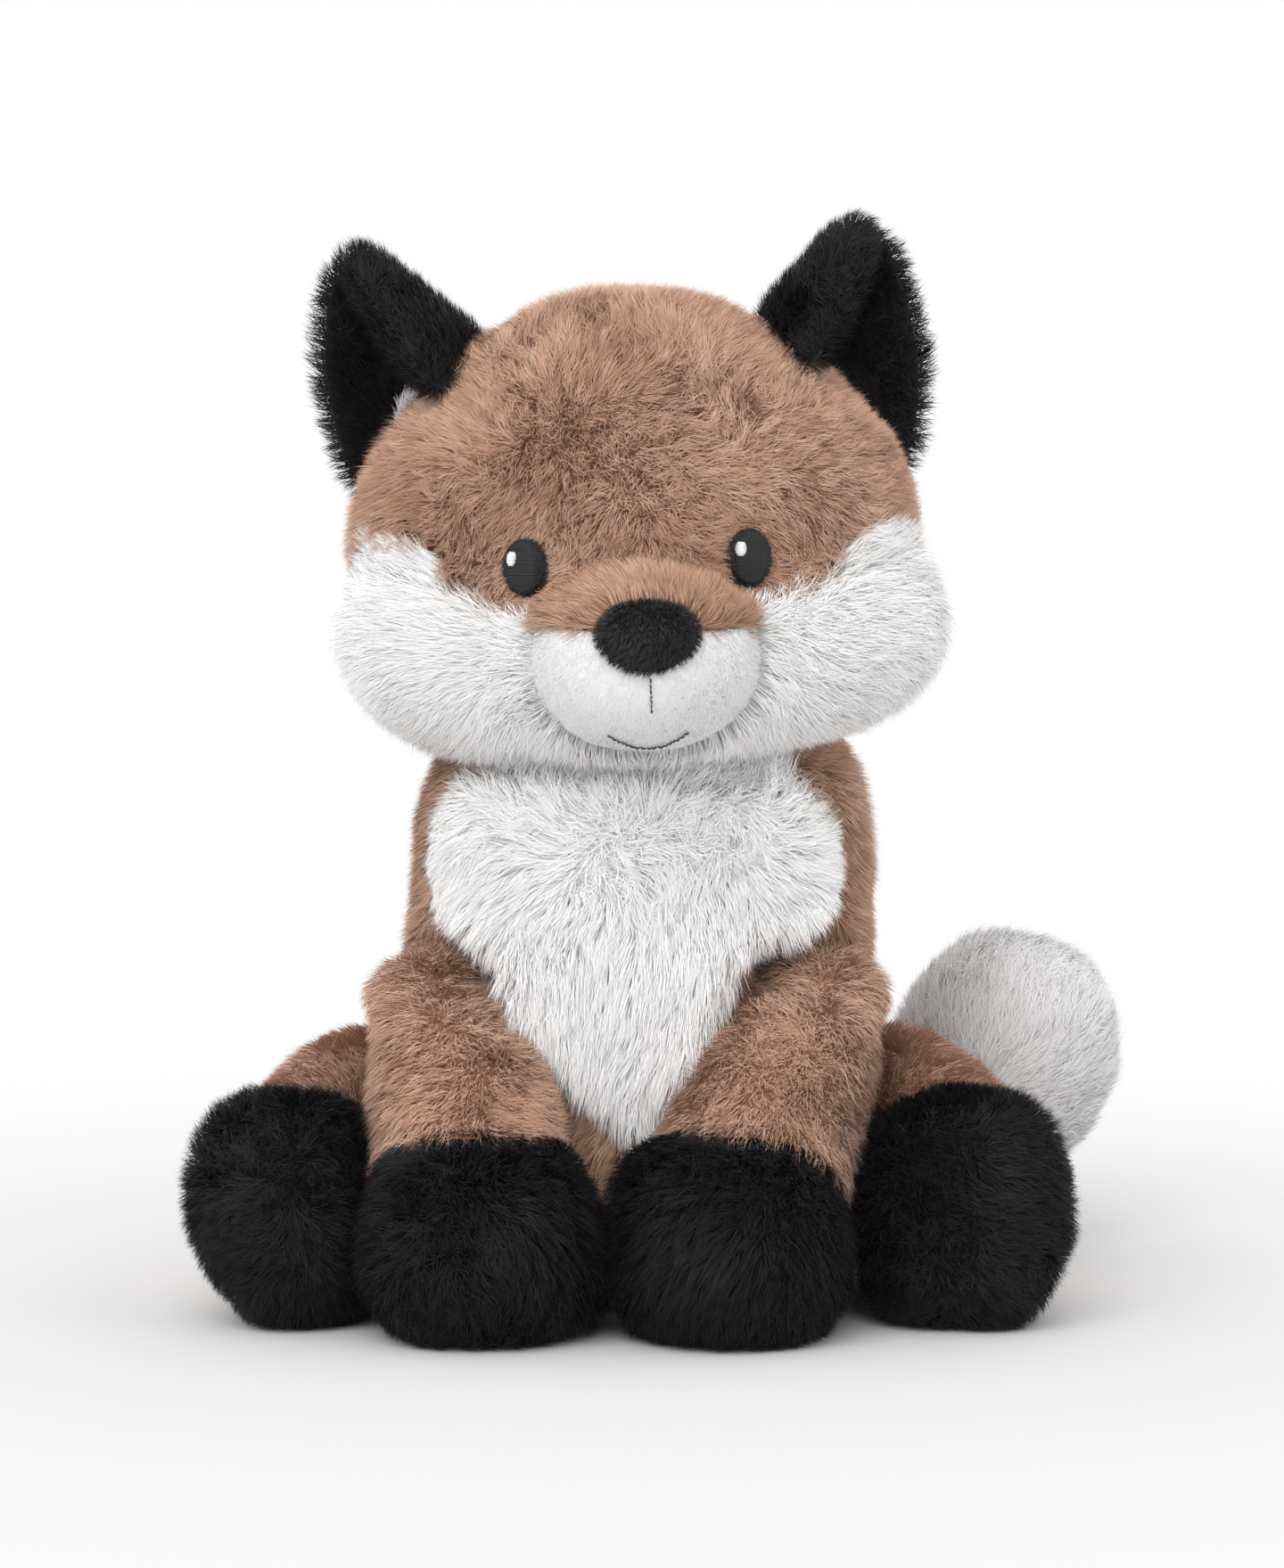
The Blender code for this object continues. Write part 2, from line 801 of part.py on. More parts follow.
def make_muzzle():
    """The brown bridge above and the smooth white bowl below, parted at the nose's height."""
    split = HEAD_CENTRE_HEIGHT + MUZZLE_CENTRE_RISE + MUZZLE_SPLIT_LIFT
    halves = (
        ("muzzle_bridge", "brown_plush", split + SEAM_GAP / 2, REACH),
        ("muzzle_bowl", "muzzle_velboa", -REACH, split - SEAM_GAP / 2),
    )
    pieces = []
    for name, material, low, high in halves:
        piece = add_piece(name, loft_mesh(name, muzzle_rings()), material)
        subdivide(piece, FORM_LEVELS)
        keep = add_cutter(
            name + "_keep", box_mesh(name + "_keep", (-REACH, -REACH, low), (REACH, REACH, high))
        )
        keep_inside(piece, keep)
        cut_closed(piece, HEAD_GROWN, *CHEEKS_GROWN)
        pieces.append(piece)
    return pieces


def make_nose():
    rings = []
    for lift, wide, deep in NOSE_RING_SHARES:
        z = NOSE_CENTRE_RISE + NOSE_HALF_HEIGHT * lift
        half_width = NOSE_HALF_WIDTH * wide
        half_depth = NOSE_HALF_DEPTH * deep
        centre = head_place((NOSE_SIDE_OFFSET, -NOSE_CENTRE_FRONT, z))
        rings.append((centre, HEAD_ACROSS, -AHEAD, half_width, half_depth))
    nose = add_piece("nose", loft_mesh("nose", rings), "black_velboa")
    subdivide(nose, FORM_LEVELS)
    cut(nose, MUZZLE_GROWN)
    return nose


def thread_piece(name, points, material):
    """A thread laid along the points, as a closed round tube."""
    curve = bpy.data.curves.new(name, "CURVE")
    curve.dimensions = "3D"
    curve.bevel_depth = THREAD_RADIUS
    curve.bevel_resolution = 1
    curve.use_fill_caps = True
    spline = curve.splines.new("POLY")
    spline.points.add(len(points) - 1)
    for place, point in zip(points, spline.points):
        point.co = (*place, 1)
    tube = bpy.data.objects.new(name + "_curve", curve)
    bpy.context.scene.collection.objects.link(tube)
    bpy.context.view_layer.update()
    graph = bpy.context.evaluated_depsgraph_get()
    mesh = bpy.data.meshes.new_from_object(tube.evaluated_get(graph))
    bpy.data.objects.remove(tube, do_unlink=True)
    shape = bmesh.new()
    shape.from_mesh(mesh)
    bmesh.ops.remove_doubles(shape, verts=shape.verts, dist=THREAD_RADIUS / 10)
    bmesh.ops.recalc_face_normals(shape, faces=shape.faces)
    shape.to_mesh(mesh)
    shape.free()
    mesh.materials.clear()
    return add_piece(name, mesh, material)


def face_point(obj, place, side=1):
    """The point of the piece's front at this place on the head, and its normal there."""
    graph = bpy.context.evaluated_depsgraph_get()
    start = head_place(place, side)
    start.y = -REACH
    hit, point, normal, _ = obj.evaluated_get(graph).ray_cast(start, -AHEAD)
    return point, normal


def stitch_point(side, height):
    point, normal = face_point(MUZZLE_WHOLE, (side, 0, height))
    return point + normal * (THREAD_RADIUS + SEAM_GAP)


def make_stitches():
    top = NOSE_CENTRE_RISE - NOSE_HALF_HEIGHT - THREAD_RADIUS
    line = []
    smile = []
    for step in range(MOUTH_POINTS):
        share = step / (MOUTH_POINTS - 1)
        line.append(stitch_point(NOSE_SIDE_OFFSET, top - NOSE_STITCH_LENGTH * share))
        turn = 2 * share - 1
        height = MOUTH_RISE + MOUTH_DROP * turn * turn
        smile.append(stitch_point(MUZZLE_SIDE_OFFSET + MOUTH_HALF_WIDTH * turn, height))
    return [
        thread_piece("nose_stitch", line, "grey_thread"),
        thread_piece("mouth_stitch", smile, "grey_thread"),
    ]


def lens_mesh(name, half_width, half_height, half_depth):
    def build(shape):
        bmesh.ops.create_uvsphere(
            shape,
            u_segments=PATCH_SEGMENTS,
            v_segments=PATCH_RINGS,
            radius=1,
            matrix=Matrix.Diagonal((half_width, half_depth, half_height, 1)),
        )

    return mesh_from(name, build)


def face_out(obj, place, normal):
    """Places a flat stitched patch on the face, its thin way along the normal."""
    obj.location = place
    obj.rotation_mode = "QUATERNION"
    obj.rotation_quaternion = AHEAD.rotation_difference(normal)


def make_eye(word, side):
    """An embroidered oval with a small white light stitched on."""
    place, normal = face_point(HEAD_WHOLE, (EYE_SPACING, 0, EYE_RISE), side)
    name = "eye_" + word
    lens = lens_mesh(name, EYE_HALF_WIDTH, EYE_HALF_HEIGHT, EYE_THICKNESS)
    eye = add_piece(name, lens, "dark_thread")
    face_out(eye, place + normal * SEAM_GAP, normal)
    light_name = "eye_light_" + word
    light_lens = lens_mesh(
        light_name, EYE_LIGHT_HALF_WIDTH, EYE_LIGHT_HALF_HEIGHT, EYE_LIGHT_THICKNESS
    )
    light = add_piece(light_name, light_lens, "white_thread")
    offset = Vector((-EYE_LIGHT_SIDE, 0, EYE_LIGHT_LIFT)) + AHEAD * EYE_THICKNESS
    face_out(light, place + AHEAD.rotation_difference(normal) @ offset, normal)
    grown_lens = lens_mesh(
        name + "_grown",
        EYE_HALF_WIDTH + SEAM_GAP,
        EYE_HALF_HEIGHT + SEAM_GAP,
        EYE_THICKNESS + SEAM_GAP,
    )
    eye_cut = add_cutter(name + "_grown", grown_lens)
    face_out(eye_cut, place + normal * SEAM_GAP, normal)
    cut(eye, HEAD_GROWN)
    cut(light, eye_cut, HEAD_GROWN)
    return eye, light


# Ears


def roll_cutter(name, start, end, radius, extra=0):
    """A round bar from start to end, along which an ear is sewn on."""
    way = end - start
    mesh = cylinder_mesh(name, radius + extra, -extra, way.length + extra)
    roll = add_cutter(name, mesh)
    roll.location = start
    roll.rotation_mode = "QUATERNION"
    roll.rotation_quaternion = UP.rotation_difference(way)
    return roll


def ear_sheet(name, side):
    """The ear's flat pattern as it stands, folded but without thickness."""

    def build(shape):
        grid = [[shape.verts.new(ear_place(place, side)) for place in line] for line in EAR_LINE_SHARES]
        for left, right in zip(grid, grid[1:]):
            for step in range(len(left) - 1):
                shape.faces.new((left[step], right[step], right[step + 1], left[step + 1]))

    return mesh_from(name, build)


def thicken(obj, thickness):
    modifier = obj.modifiers.new("thickness", "SOLIDIFY")
    modifier.thickness = thickness
    modifier.offset = 0
    modifier.use_even_offset = True


def ear_roll(name, side, extra=0):
    start = ear_place(EAR_SEAM_START_SHARES, side)
    end = ear_place(EAR_SEAM_END_SHARES, side)
    return roll_cutter(name, start, end, EAR_ROOT_RADIUS, extra)


def make_ear(word, side):
    """A padded triangle whose inner half is folded forward."""
    name = "ear_" + word
    ear = add_piece(name, ear_sheet(name, side), "black_plush")
    thicken(ear, EAR_THICKNESS)
    subdivide(ear, EAR_LEVELS)
    cut(ear, EAR_HEAD_CUTTER)
    combine(ear, ear_roll(name + "_root", side), "UNION")
    seam_middle = (Vector(EAR_SEAM_START_SHARES) + Vector(EAR_SEAM_END_SHARES)) / 2
    hinge = joint_empty(name + "_hinge", ear_place(seam_middle, side))
    hang_on(hinge, ear)
    return hinge


# Legs


def paw_rings(centre, height, half_width, half_depth):
    return upright_rings(centre, height, half_width, half_depth, PAW_RING_SHARES)


def make_paw(name, centre, height, half_width, half_depth):
    """A round black foot, cut flat where it stands."""
    low = centre - UP * GROUND_SINK
    mesh = loft_mesh(name, paw_rings(low, height + GROUND_SINK, half_width, half_depth))
    paw = add_piece(name, mesh, "black_plush")
    subdivide(paw, FORM_LEVELS)
    grown = grown_copy(paw, name + "_grown", FORM_LEVELS)
    cut(paw, GROUND)
    return paw, grown


def front_leg_rings(side):
    start = shoulder_place(side)
    end = front_paw_place(side, FRONT_PAW_HEIGHT / 2)
    centres = [start.lerp(end, along) for along, _ in FRONT_LEG_SHARES]
    radii = [FRONT_LEG_RADIUS * wide for _, wide in FRONT_LEG_SHARES]
    return path_rings(centres, radii)


def thigh_rings(side):
    start = hip_place(side)
    end = Vector((HIND_FOOT_SPACING * side, -HIND_FOOT_FRONT, HIND_FOOT_HEIGHT / 2))
    up_way = ACROSS.cross(end - start).normalized()
    rings = []
    for along, wide, high in THIGH_SHARES:
        centre = start + (end - start) * along
        rings.append((centre, ACROSS, up_way, THIGH_HALF_WIDTH * wide, THIGH_RADIUS * high))
    return rings


def limb_piece(name, rings, material, *cutters):
    """A stuffed limb, cut back by the larger pieces that it is sewn to."""
    limb = add_piece(name, loft_mesh(name, rings), material)
    subdivide(limb, FORM_LEVELS)
    cut(limb, *cutters)
    return limb


def leg_rooms():
    """The space that each front leg needs in the chest, at rest and as it lifts."""
    rooms = []
    for word, side in SIDES:
        place = shoulder_place(side)
        mesh = loft_mesh("leg_room_" + word, front_leg_rings(side), ROOM_SIDES)
        mesh.transform(Matrix.Translation(-place))
        for lift in (0, *FRONT_LEG_LIFTS_DEG):
            room = add_cutter(f"leg_room_{word}_{lift}", mesh)
            room.location = place
            room.rotation_euler.x = -math.radians(lift)
            subdivide(room, FORM_LEVELS)
            grow(room, LEG_ROOM)
            rooms.append(room)
    return rooms


def make_front_leg(word, side):
    paw, paw_grown = make_paw(
        "front_paw_" + word,
        front_paw_place(side),
        FRONT_PAW_HEIGHT,
        FRONT_PAW_HALF_WIDTH,
        FRONT_PAW_HALF_DEPTH,
    )
    cut(paw, TORSO_GROWN)
    name = "front_leg_" + word
    leg = limb_piece(name, front_leg_rings(side), "brown_plush", paw_grown)
    ball = ball_cutter("shoulder_ball_" + word, shoulder_place(side), SHOULDER_RADIUS)
    combine(leg, ball, "UNION")
    hang_on(joint_empty("shoulder_" + word, shoulder_place(side)), leg, paw)


def make_hind_leg(word, side):
    foot_place = Vector((HIND_FOOT_SPACING * side, -HIND_FOOT_FRONT, 0))
    foot, foot_grown = make_paw(
        "hind_foot_" + word,
        foot_place,
        HIND_FOOT_HEIGHT,
        HIND_FOOT_HALF_WIDTH,
        HIND_FOOT_HALF_DEPTH,
    )
    name = "hind_leg_" + word
    edge = (HIP_FLAT_OFFSET + SEAM_GAP) * side
    inner_side = half_space("hip_seam_" + word, -side, edge)
    leg = limb_piece(name, thigh_rings(side), "brown_plush", inner_side, foot_grown, GROUND)
    hang_on(joint_empty("hip_" + word, hip_place(side)), leg, foot)


def tail_path():
    places = (TAIL_PIVOT, TAIL_MIDDLE, TAIL_TURN, TAIL_BULB, TAIL_END)
    root, middle, turn, bulb, end = map(Vector, places)
    return [
        root.lerp(middle, -TAIL_BACK_SHARE),
        root.lerp(middle, TAIL_START_SHARE),
        middle,
        turn,
        bulb,
        bulb.lerp(end, TAIL_TOP_SHARE),
        end,
    ]


def make_tail():
    """A brown tail with a big white tip, parted across its length."""
    rings = path_rings(tail_path(), [TAIL_RADIUS * share for share in TAIL_RADIUS_SHARES])
    turn, bulb = Vector(TAIL_TURN), Vector(TAIL_BULB)
    way = (bulb - turn).normalized()
    seam = turn.lerp(bulb, TAIL_SPLIT_SHARE)
    ends = (("tail_base", "brown_plush", 1), ("tail_tip", "white_plush", -1))
    pieces = []
    for name, material, direction in ends:
        low = (-REACH, -REACH, -SEAM_GAP / 2)
        beyond = add_cutter(name + "_seam", box_mesh(name + "_seam", low, (REACH,) * 3))
        beyond.location = seam
        beyond.rotation_mode = "QUATERNION"
        beyond.rotation_quaternion = UP.rotation_difference(way * direction)
        pieces.append(limb_piece(name, rings, material, beyond, GROUND))
    base, tip = pieces
    cut(base, TAIL_TORSO_CUTTER)
    combine(base, TAIL_BALL, "UNION")
    hang_on(joint_empty("tail_root", TAIL_PIVOT), base, tip)


# Assembly

SOCKETS = joint_sockets("socket", JOINT_GAP)
FLATS = hip_flats()

TORSO_GROWN = add_cutter("torso_grown", loft_mesh("torso_grown", torso_rings()))
subdivide(TORSO_GROWN, FORM_LEVELS)
grow(TORSO_GROWN, SEAM_GAP)
TAIL_TORSO_CUTTER = grown_copy(TORSO_GROWN, "tail_torso_cutter", FORM_LEVELS, TAIL_ROOM)
TAIL_BALL = ball_cutter("tail_root_ball", Vector(TAIL_PIVOT), TAIL_ROOT_RADIUS)
cut(TAIL_TORSO_CUTTER, TAIL_BALL)

LEG_ROOMS = leg_rooms()
torso = make_torso()
for leg_word, leg_side in SIDES:
    make_front_leg(leg_word, leg_side)
for leg_word, leg_side in SIDES:
    make_hind_leg(leg_word, leg_side)
make_tail()
make_torso_inside()
neck_disc = make_neck_disc()
make_bib(torso)

HEAD_WHOLE = add_cutter("head_whole", loft_mesh("head_whole", head_rings()))
subdivide(HEAD_WHOLE, FORM_LEVELS)
HEAD_GROWN = grown_copy(HEAD_WHOLE, "head_grown", FORM_LEVELS)
EAR_HEAD_CUTTER = grown_copy(HEAD_WHOLE, "ear_head_cutter", FORM_LEVELS, EAR_ROOT_LIFT)
head_pieces = [make_head(), make_head_filling()]
cheeks = make_cheeks()
CHEEKS_GROWN = [grown_copy(cheek, cheek.name + "_grown", FORM_LEVELS) for cheek in cheeks]
head_pieces += cheeks
head_pieces += make_muzzle()
MUZZLE_WHOLE = add_cutter("muzzle_whole", loft_mesh("muzzle_whole", muzzle_rings()))
subdivide(MUZZLE_WHOLE, FORM_LEVELS)
MUZZLE_GROWN = grown_copy(MUZZLE_WHOLE, "muzzle_grown", FORM_LEVELS)
head_pieces.append(make_nose())
bpy.context.view_layer.update()
head_pieces += make_stitches()
for eye_word, eye_side in SIDES:
    head_pieces += make_eye(eye_word, eye_side)
head_pieces += [make_ear(ear_word, ear_side) for ear_word, ear_side in SIDES]
neck_joint = joint_empty("neck_turn", NECK_PIVOT)
head_joint = joint_empty("neck_nod", NECK_PIVOT)
hang_on(head_joint, *head_pieces)
hang_on(neck_joint, neck_disc, head_joint)
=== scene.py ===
"""A sitting plush fox: pile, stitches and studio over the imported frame."""

import math

import bmesh
import bpy
import numpy as np
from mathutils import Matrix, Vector
from mathutils.bvhtree import BVHTree
from mathutils.kdtree import KDTree


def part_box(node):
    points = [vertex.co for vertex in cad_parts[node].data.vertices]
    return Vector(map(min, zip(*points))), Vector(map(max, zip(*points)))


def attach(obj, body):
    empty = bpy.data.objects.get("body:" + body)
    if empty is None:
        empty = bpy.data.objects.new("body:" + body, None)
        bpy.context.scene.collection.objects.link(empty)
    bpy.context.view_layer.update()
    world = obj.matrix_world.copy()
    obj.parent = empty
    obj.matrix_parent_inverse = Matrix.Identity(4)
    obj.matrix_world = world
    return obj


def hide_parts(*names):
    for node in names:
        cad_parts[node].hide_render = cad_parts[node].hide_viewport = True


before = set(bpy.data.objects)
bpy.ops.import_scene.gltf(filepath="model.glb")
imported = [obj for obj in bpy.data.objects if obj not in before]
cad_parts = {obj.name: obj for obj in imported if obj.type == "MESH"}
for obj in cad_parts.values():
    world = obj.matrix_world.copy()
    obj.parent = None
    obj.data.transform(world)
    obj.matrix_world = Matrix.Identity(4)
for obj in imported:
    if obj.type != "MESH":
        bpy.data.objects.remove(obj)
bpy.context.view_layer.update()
SIDES = (("left", 1), ("right", -1))

# Studio and camera

PHOTO_HEIGHT = 1759
METRES_PER_PIXEL = 0.0002335
CAMERA_DISTANCE = 1.35
CAMERA_ELEVATION = math.radians(4)
CAMERA_TARGET = Vector((0.0033, -0.045, 0.1417))
SENSOR_HEIGHT = 36.0
FLOOR_HALF_SIDE = 4.0
FLOOR_GREY = 0.80
FLOOR_ROUGHNESS = 0.9
FLOOR_CLEAR_RADIUS = 0.16
FLOOR_WHITE_RADIUS = 0.55
ROOM_LIGHT = 0.86
# name, direction, strength, spread in degrees
SUNS = (
    ("key", (0.30, 0.95, -0.75), 1.45, 50),
    ("fill", (-0.5, 0.8, -0.35), 0.25, 60),
    ("front", (0.05, 1.0, 0.12), 0.46, 70),
)


def make_camera():
    data = bpy.data.cameras.new("camera")
    data.sensor_fit = "VERTICAL"
    data.sensor_height = SENSOR_HEIGHT
    data.sensor_width = SENSOR_HEIGHT
    data.lens = SENSOR_HEIGHT * CAMERA_DISTANCE / (PHOTO_HEIGHT * METRES_PER_PIXEL)
    camera = bpy.data.objects.new("camera", data)
    back = Vector((0, -math.cos(CAMERA_ELEVATION), math.sin(CAMERA_ELEVATION)))
    camera.location = CAMERA_TARGET + back * CAMERA_DISTANCE
    camera.rotation_mode = "QUATERNION"
    camera.rotation_quaternion = (-back).to_track_quat("-Z", "Y")
    bpy.context.scene.collection.objects.link(camera)
    bpy.context.scene.camera = camera


def make_sun(name, direction, strength, spread_deg):
    data = bpy.data.lights.new(name, "SUN")
    data.energy = strength
    data.angle = math.radians(spread_deg)
    sun = bpy.data.objects.new(name, data)
    sun.rotation_mode = "QUATERNION"
    sun.rotation_quaternion = Vector(direction).to_track_quat("-Z", "Y")
    bpy.context.scene.collection.objects.link(sun)


def make_world(strength):
    world = bpy.data.worlds.new("studio")
    bpy.context.scene.world = world
    world.use_nodes = True
    nodes, links = world.node_tree.nodes, world.node_tree.links
    nodes.clear()
    output = nodes.new("ShaderNodeOutputWorld")
    path = nodes.new("ShaderNodeLightPath")
    seen = nodes.new("ShaderNodeMath")
    seen.operation = "MAXIMUM"
    links.new(path.outputs["Is Camera Ray"], seen.inputs[0])
    links.new(path.outputs["Is Glossy Ray"], seen.inputs[1])
    also = nodes.new("ShaderNodeMath")
    also.operation = "MAXIMUM"
    links.new(seen.outputs[0], also.inputs[0])
    links.new(path.outputs["Is Transmission Ray"], also.inputs[1])
    room = nodes.new("ShaderNodeBackground")
    room.inputs["Color"].default_value = (1, 1, 1, 1)
    room.inputs["Strength"].default_value = strength
    paper = nodes.new("ShaderNodeBackground")
    paper.inputs["Color"].default_value = (1, 1, 1, 1)
    paper.inputs["Strength"].default_value = 1.0
    mix = nodes.new("ShaderNodeMixShader")
    links.new(also.outputs[0], mix.inputs["Fac"])
    links.new(room.outputs[0], mix.inputs[1])
    links.new(paper.outputs[0], mix.inputs[2])
    links.new(mix.outputs[0], output.inputs["Surface"])


def make_floor():
    """A pale sheet that keeps the toy's shadow and fades to the white paper further out."""
    mesh = bpy.data.meshes.new("floor")
    shape = bmesh.new()
    bmesh.ops.create_grid(shape, x_segments=1, y_segments=1, size=FLOOR_HALF_SIDE)
    shape.to_mesh(mesh)
    shape.free()
    floor = bpy.data.objects.new("floor", mesh)
    bpy.context.scene.collection.objects.link(floor)
    material = bpy.data.materials.new("floor_paper")
    material.use_nodes = True
    nodes, links = material.node_tree.nodes, material.node_tree.links
    shader = nodes["Principled BSDF"]
    shader.inputs["Base Color"].default_value = (FLOOR_GREY, FLOOR_GREY, FLOOR_GREY, 1)
    shader.inputs["Roughness"].default_value = FLOOR_ROUGHNESS
    shader.inputs["Specular IOR Level"].default_value = 0.0
    where = nodes.new("ShaderNodeTexCoord")
    centre = nodes.new("ShaderNodeVectorMath")
    centre.operation = "LENGTH"
    links.new(where.outputs["Object"], centre.inputs[0])
    fade = nodes.new("ShaderNodeMapRange")
    fade.interpolation_type = "SMOOTHSTEP"
    fade.inputs["From Min"].default_value = FLOOR_CLEAR_RADIUS
    fade.inputs["From Max"].default_value = FLOOR_WHITE_RADIUS
    links.new(centre.outputs["Value"], fade.inputs["Value"])
    path = nodes.new("ShaderNodeLightPath")
    seen = nodes.new("ShaderNodeMath")
    seen.operation = "MULTIPLY"
    links.new(fade.outputs["Result"], seen.inputs[0])
    links.new(path.outputs["Is Camera Ray"], seen.inputs[1])
    paper = nodes.new("ShaderNodeEmission")
    paper.inputs["Color"].default_value = (1, 1, 1, 1)
    mix = nodes.new("ShaderNodeMixShader")
    links.new(seen.outputs[0], mix.inputs["Fac"])
    links.new(shader.outputs[0], mix.inputs[1])
    links.new(paper.outputs[0], mix.inputs[2])
    links.new(mix.outputs[0], nodes["Material Output"].inputs["Surface"])
    mesh.materials.append(material)


# Materials

SHEEN_ROUGHNESS = 0.5
BACKING_SPECULAR = 0.1
MOTTLE_SHARE = 0.08
GRAIN_BUMP_STRENGTH = 0.6
COARSE_GRAIN, COARSE_BUMP = 1500, 0.0006
FINE_GRAIN, NOSE_BUMP, VELBOA_BUMP = 2500, 0.0003, 0.0002


def new_material(name, roughness, sheen, specular=0.15):
    material = bpy.data.materials.new(name)
    material.use_nodes = True
    shader = material.node_tree.nodes["Principled BSDF"]
    shader.inputs["Roughness"].default_value = roughness
    shader.inputs["Sheen Weight"].default_value = sheen
    shader.inputs["Sheen Roughness"].default_value = SHEEN_ROUGHNESS
    shader.inputs["Specular IOR Level"].default_value = specular
    return material, shader, material.node_tree.nodes, material.node_tree.links


def set_ramp(ramp, stops):
    elements = ramp.color_ramp.elements
    while len(elements) < len(stops):
        elements.new(0.5)
    for element, (place, colour) in zip(elements, stops):
        element.position = place
        element.color = (*colour, 1)


def pile_material(name, tones, painted_root_shade, roughness=0.75, sheen=0.25, specular=0.2):
    """Fibre colour by the strand's own map: across it the strand's tone, along it painted shade, darker at
    the root and full tone at the tip.
    """
    material, shader, nodes, links = new_material(name, roughness, sheen, specular)
    place = nodes.new("ShaderNodeUVMap")
    place.uv_map = "OFBake"
    split = nodes.new("ShaderNodeSeparateXYZ")
    links.new(place.outputs["UV"], split.inputs[0])
    tone = nodes.new("ShaderNodeValToRGB")
    set_ramp(tone, tones)
    links.new(split.outputs["X"], tone.inputs["Fac"])
    # Painted shade: each strand is darker at its root, where the strands shadow each other, and reaches its
    # full tone at the tip
    along = nodes.new("ShaderNodeValToRGB")
    set_ramp(along, ((0.0, (painted_root_shade,) * 3), (0.55, ((1 + painted_root_shade) / 2,) * 3), (1.0, (1, 1, 1))))
    links.new(split.outputs["Y"], along.inputs["Fac"])
    mix = nodes.new("ShaderNodeMix")
    mix.data_type = "RGBA"
    mix.blend_type = "MULTIPLY"
    mix.inputs["Factor"].default_value = 1.0
    links.new(tone.outputs["Color"], mix.inputs["A"])
    links.new(along.outputs["Color"], mix.inputs["B"])
    links.new(mix.outputs["Result"], shader.inputs["Base Color"])
    return material


def skin_material(name, dark, light, grain_scale, bump_height, roughness=0.9, sheen=0.3):
    """Backing cloth under the pile, mottled and finely bumped."""
    material, shader, nodes, links = new_material(name, roughness, sheen, BACKING_SPECULAR)
    where = nodes.new("ShaderNodeTexCoord")
    mottle = nodes.new("ShaderNodeTexNoise")
    mottle.inputs["Scale"].default_value = grain_scale * MOTTLE_SHARE
    mottle.inputs["Detail"].default_value = 3
    links.new(where.outputs["Object"], mottle.inputs["Vector"])
    colour = nodes.new("ShaderNodeValToRGB")
    set_ramp(colour, ((0.3, dark), (0.7, light)))
    links.new(mottle.outputs["Fac"], colour.inputs["Fac"])
    links.new(colour.outputs["Color"], shader.inputs["Base Color"])
    grain = nodes.new("ShaderNodeTexNoise")
    grain.inputs["Scale"].default_value = grain_scale
    grain.inputs["Detail"].default_value = 2
    links.new(where.outputs["Object"], grain.inputs["Vector"])
    bump = nodes.new("ShaderNodeBump")
    bump.inputs["Strength"].default_value = GRAIN_BUMP_STRENGTH
    bump.inputs["Distance"].default_value = bump_height
    links.new(grain.outputs["Fac"], bump.inputs["Height"])
    links.new(bump.outputs["Normal"], shader.inputs["Normal"])
    return material


BROWN_TONES = ((0.0, (0.44, 0.238, 0.150)), (0.5, (0.63, 0.375, 0.252)), (1.0, (0.86, 0.60, 0.455)))
# Painted light: the legs' brown is a lighter copy of the body's brown, to offset the shade between the legs'
# downward-lying strands
BROWN_PAINTED_LIGHT_TONES = ((0.0, (0.51, 0.285, 0.185)), (0.5, (0.71, 0.435, 0.300)), (1.0, (0.92, 0.665, 0.515)))
WHITE_TONES = ((0.0, (0.92, 0.913, 0.908)), (0.5, (0.965, 0.96, 0.956)), (1.0, (0.98, 0.977, 0.974)))
TAIL_TONES = ((0.0, (0.86, 0.85, 0.852)), (0.5, (0.92, 0.912, 0.914)), (1.0, (0.96, 0.953, 0.955)))
BLACK_TONES = (
    (0.0, (0.0028, 0.0022, 0.0027)),
    (0.5, (0.0064, 0.0052, 0.0062)),
    (1.0, (0.024, 0.020, 0.023)),
)
NOSE_TONES = ((0.0, (0.010, 0.009, 0.010)), (0.5, (0.022, 0.019, 0.021)), (1.0, (0.05, 0.046, 0.05)))
VELBOA_TONES = ((0.0, (0.88, 0.878, 0.88)), (0.5, (0.92, 0.918, 0.92)), (1.0, (0.95, 0.948, 0.95)))

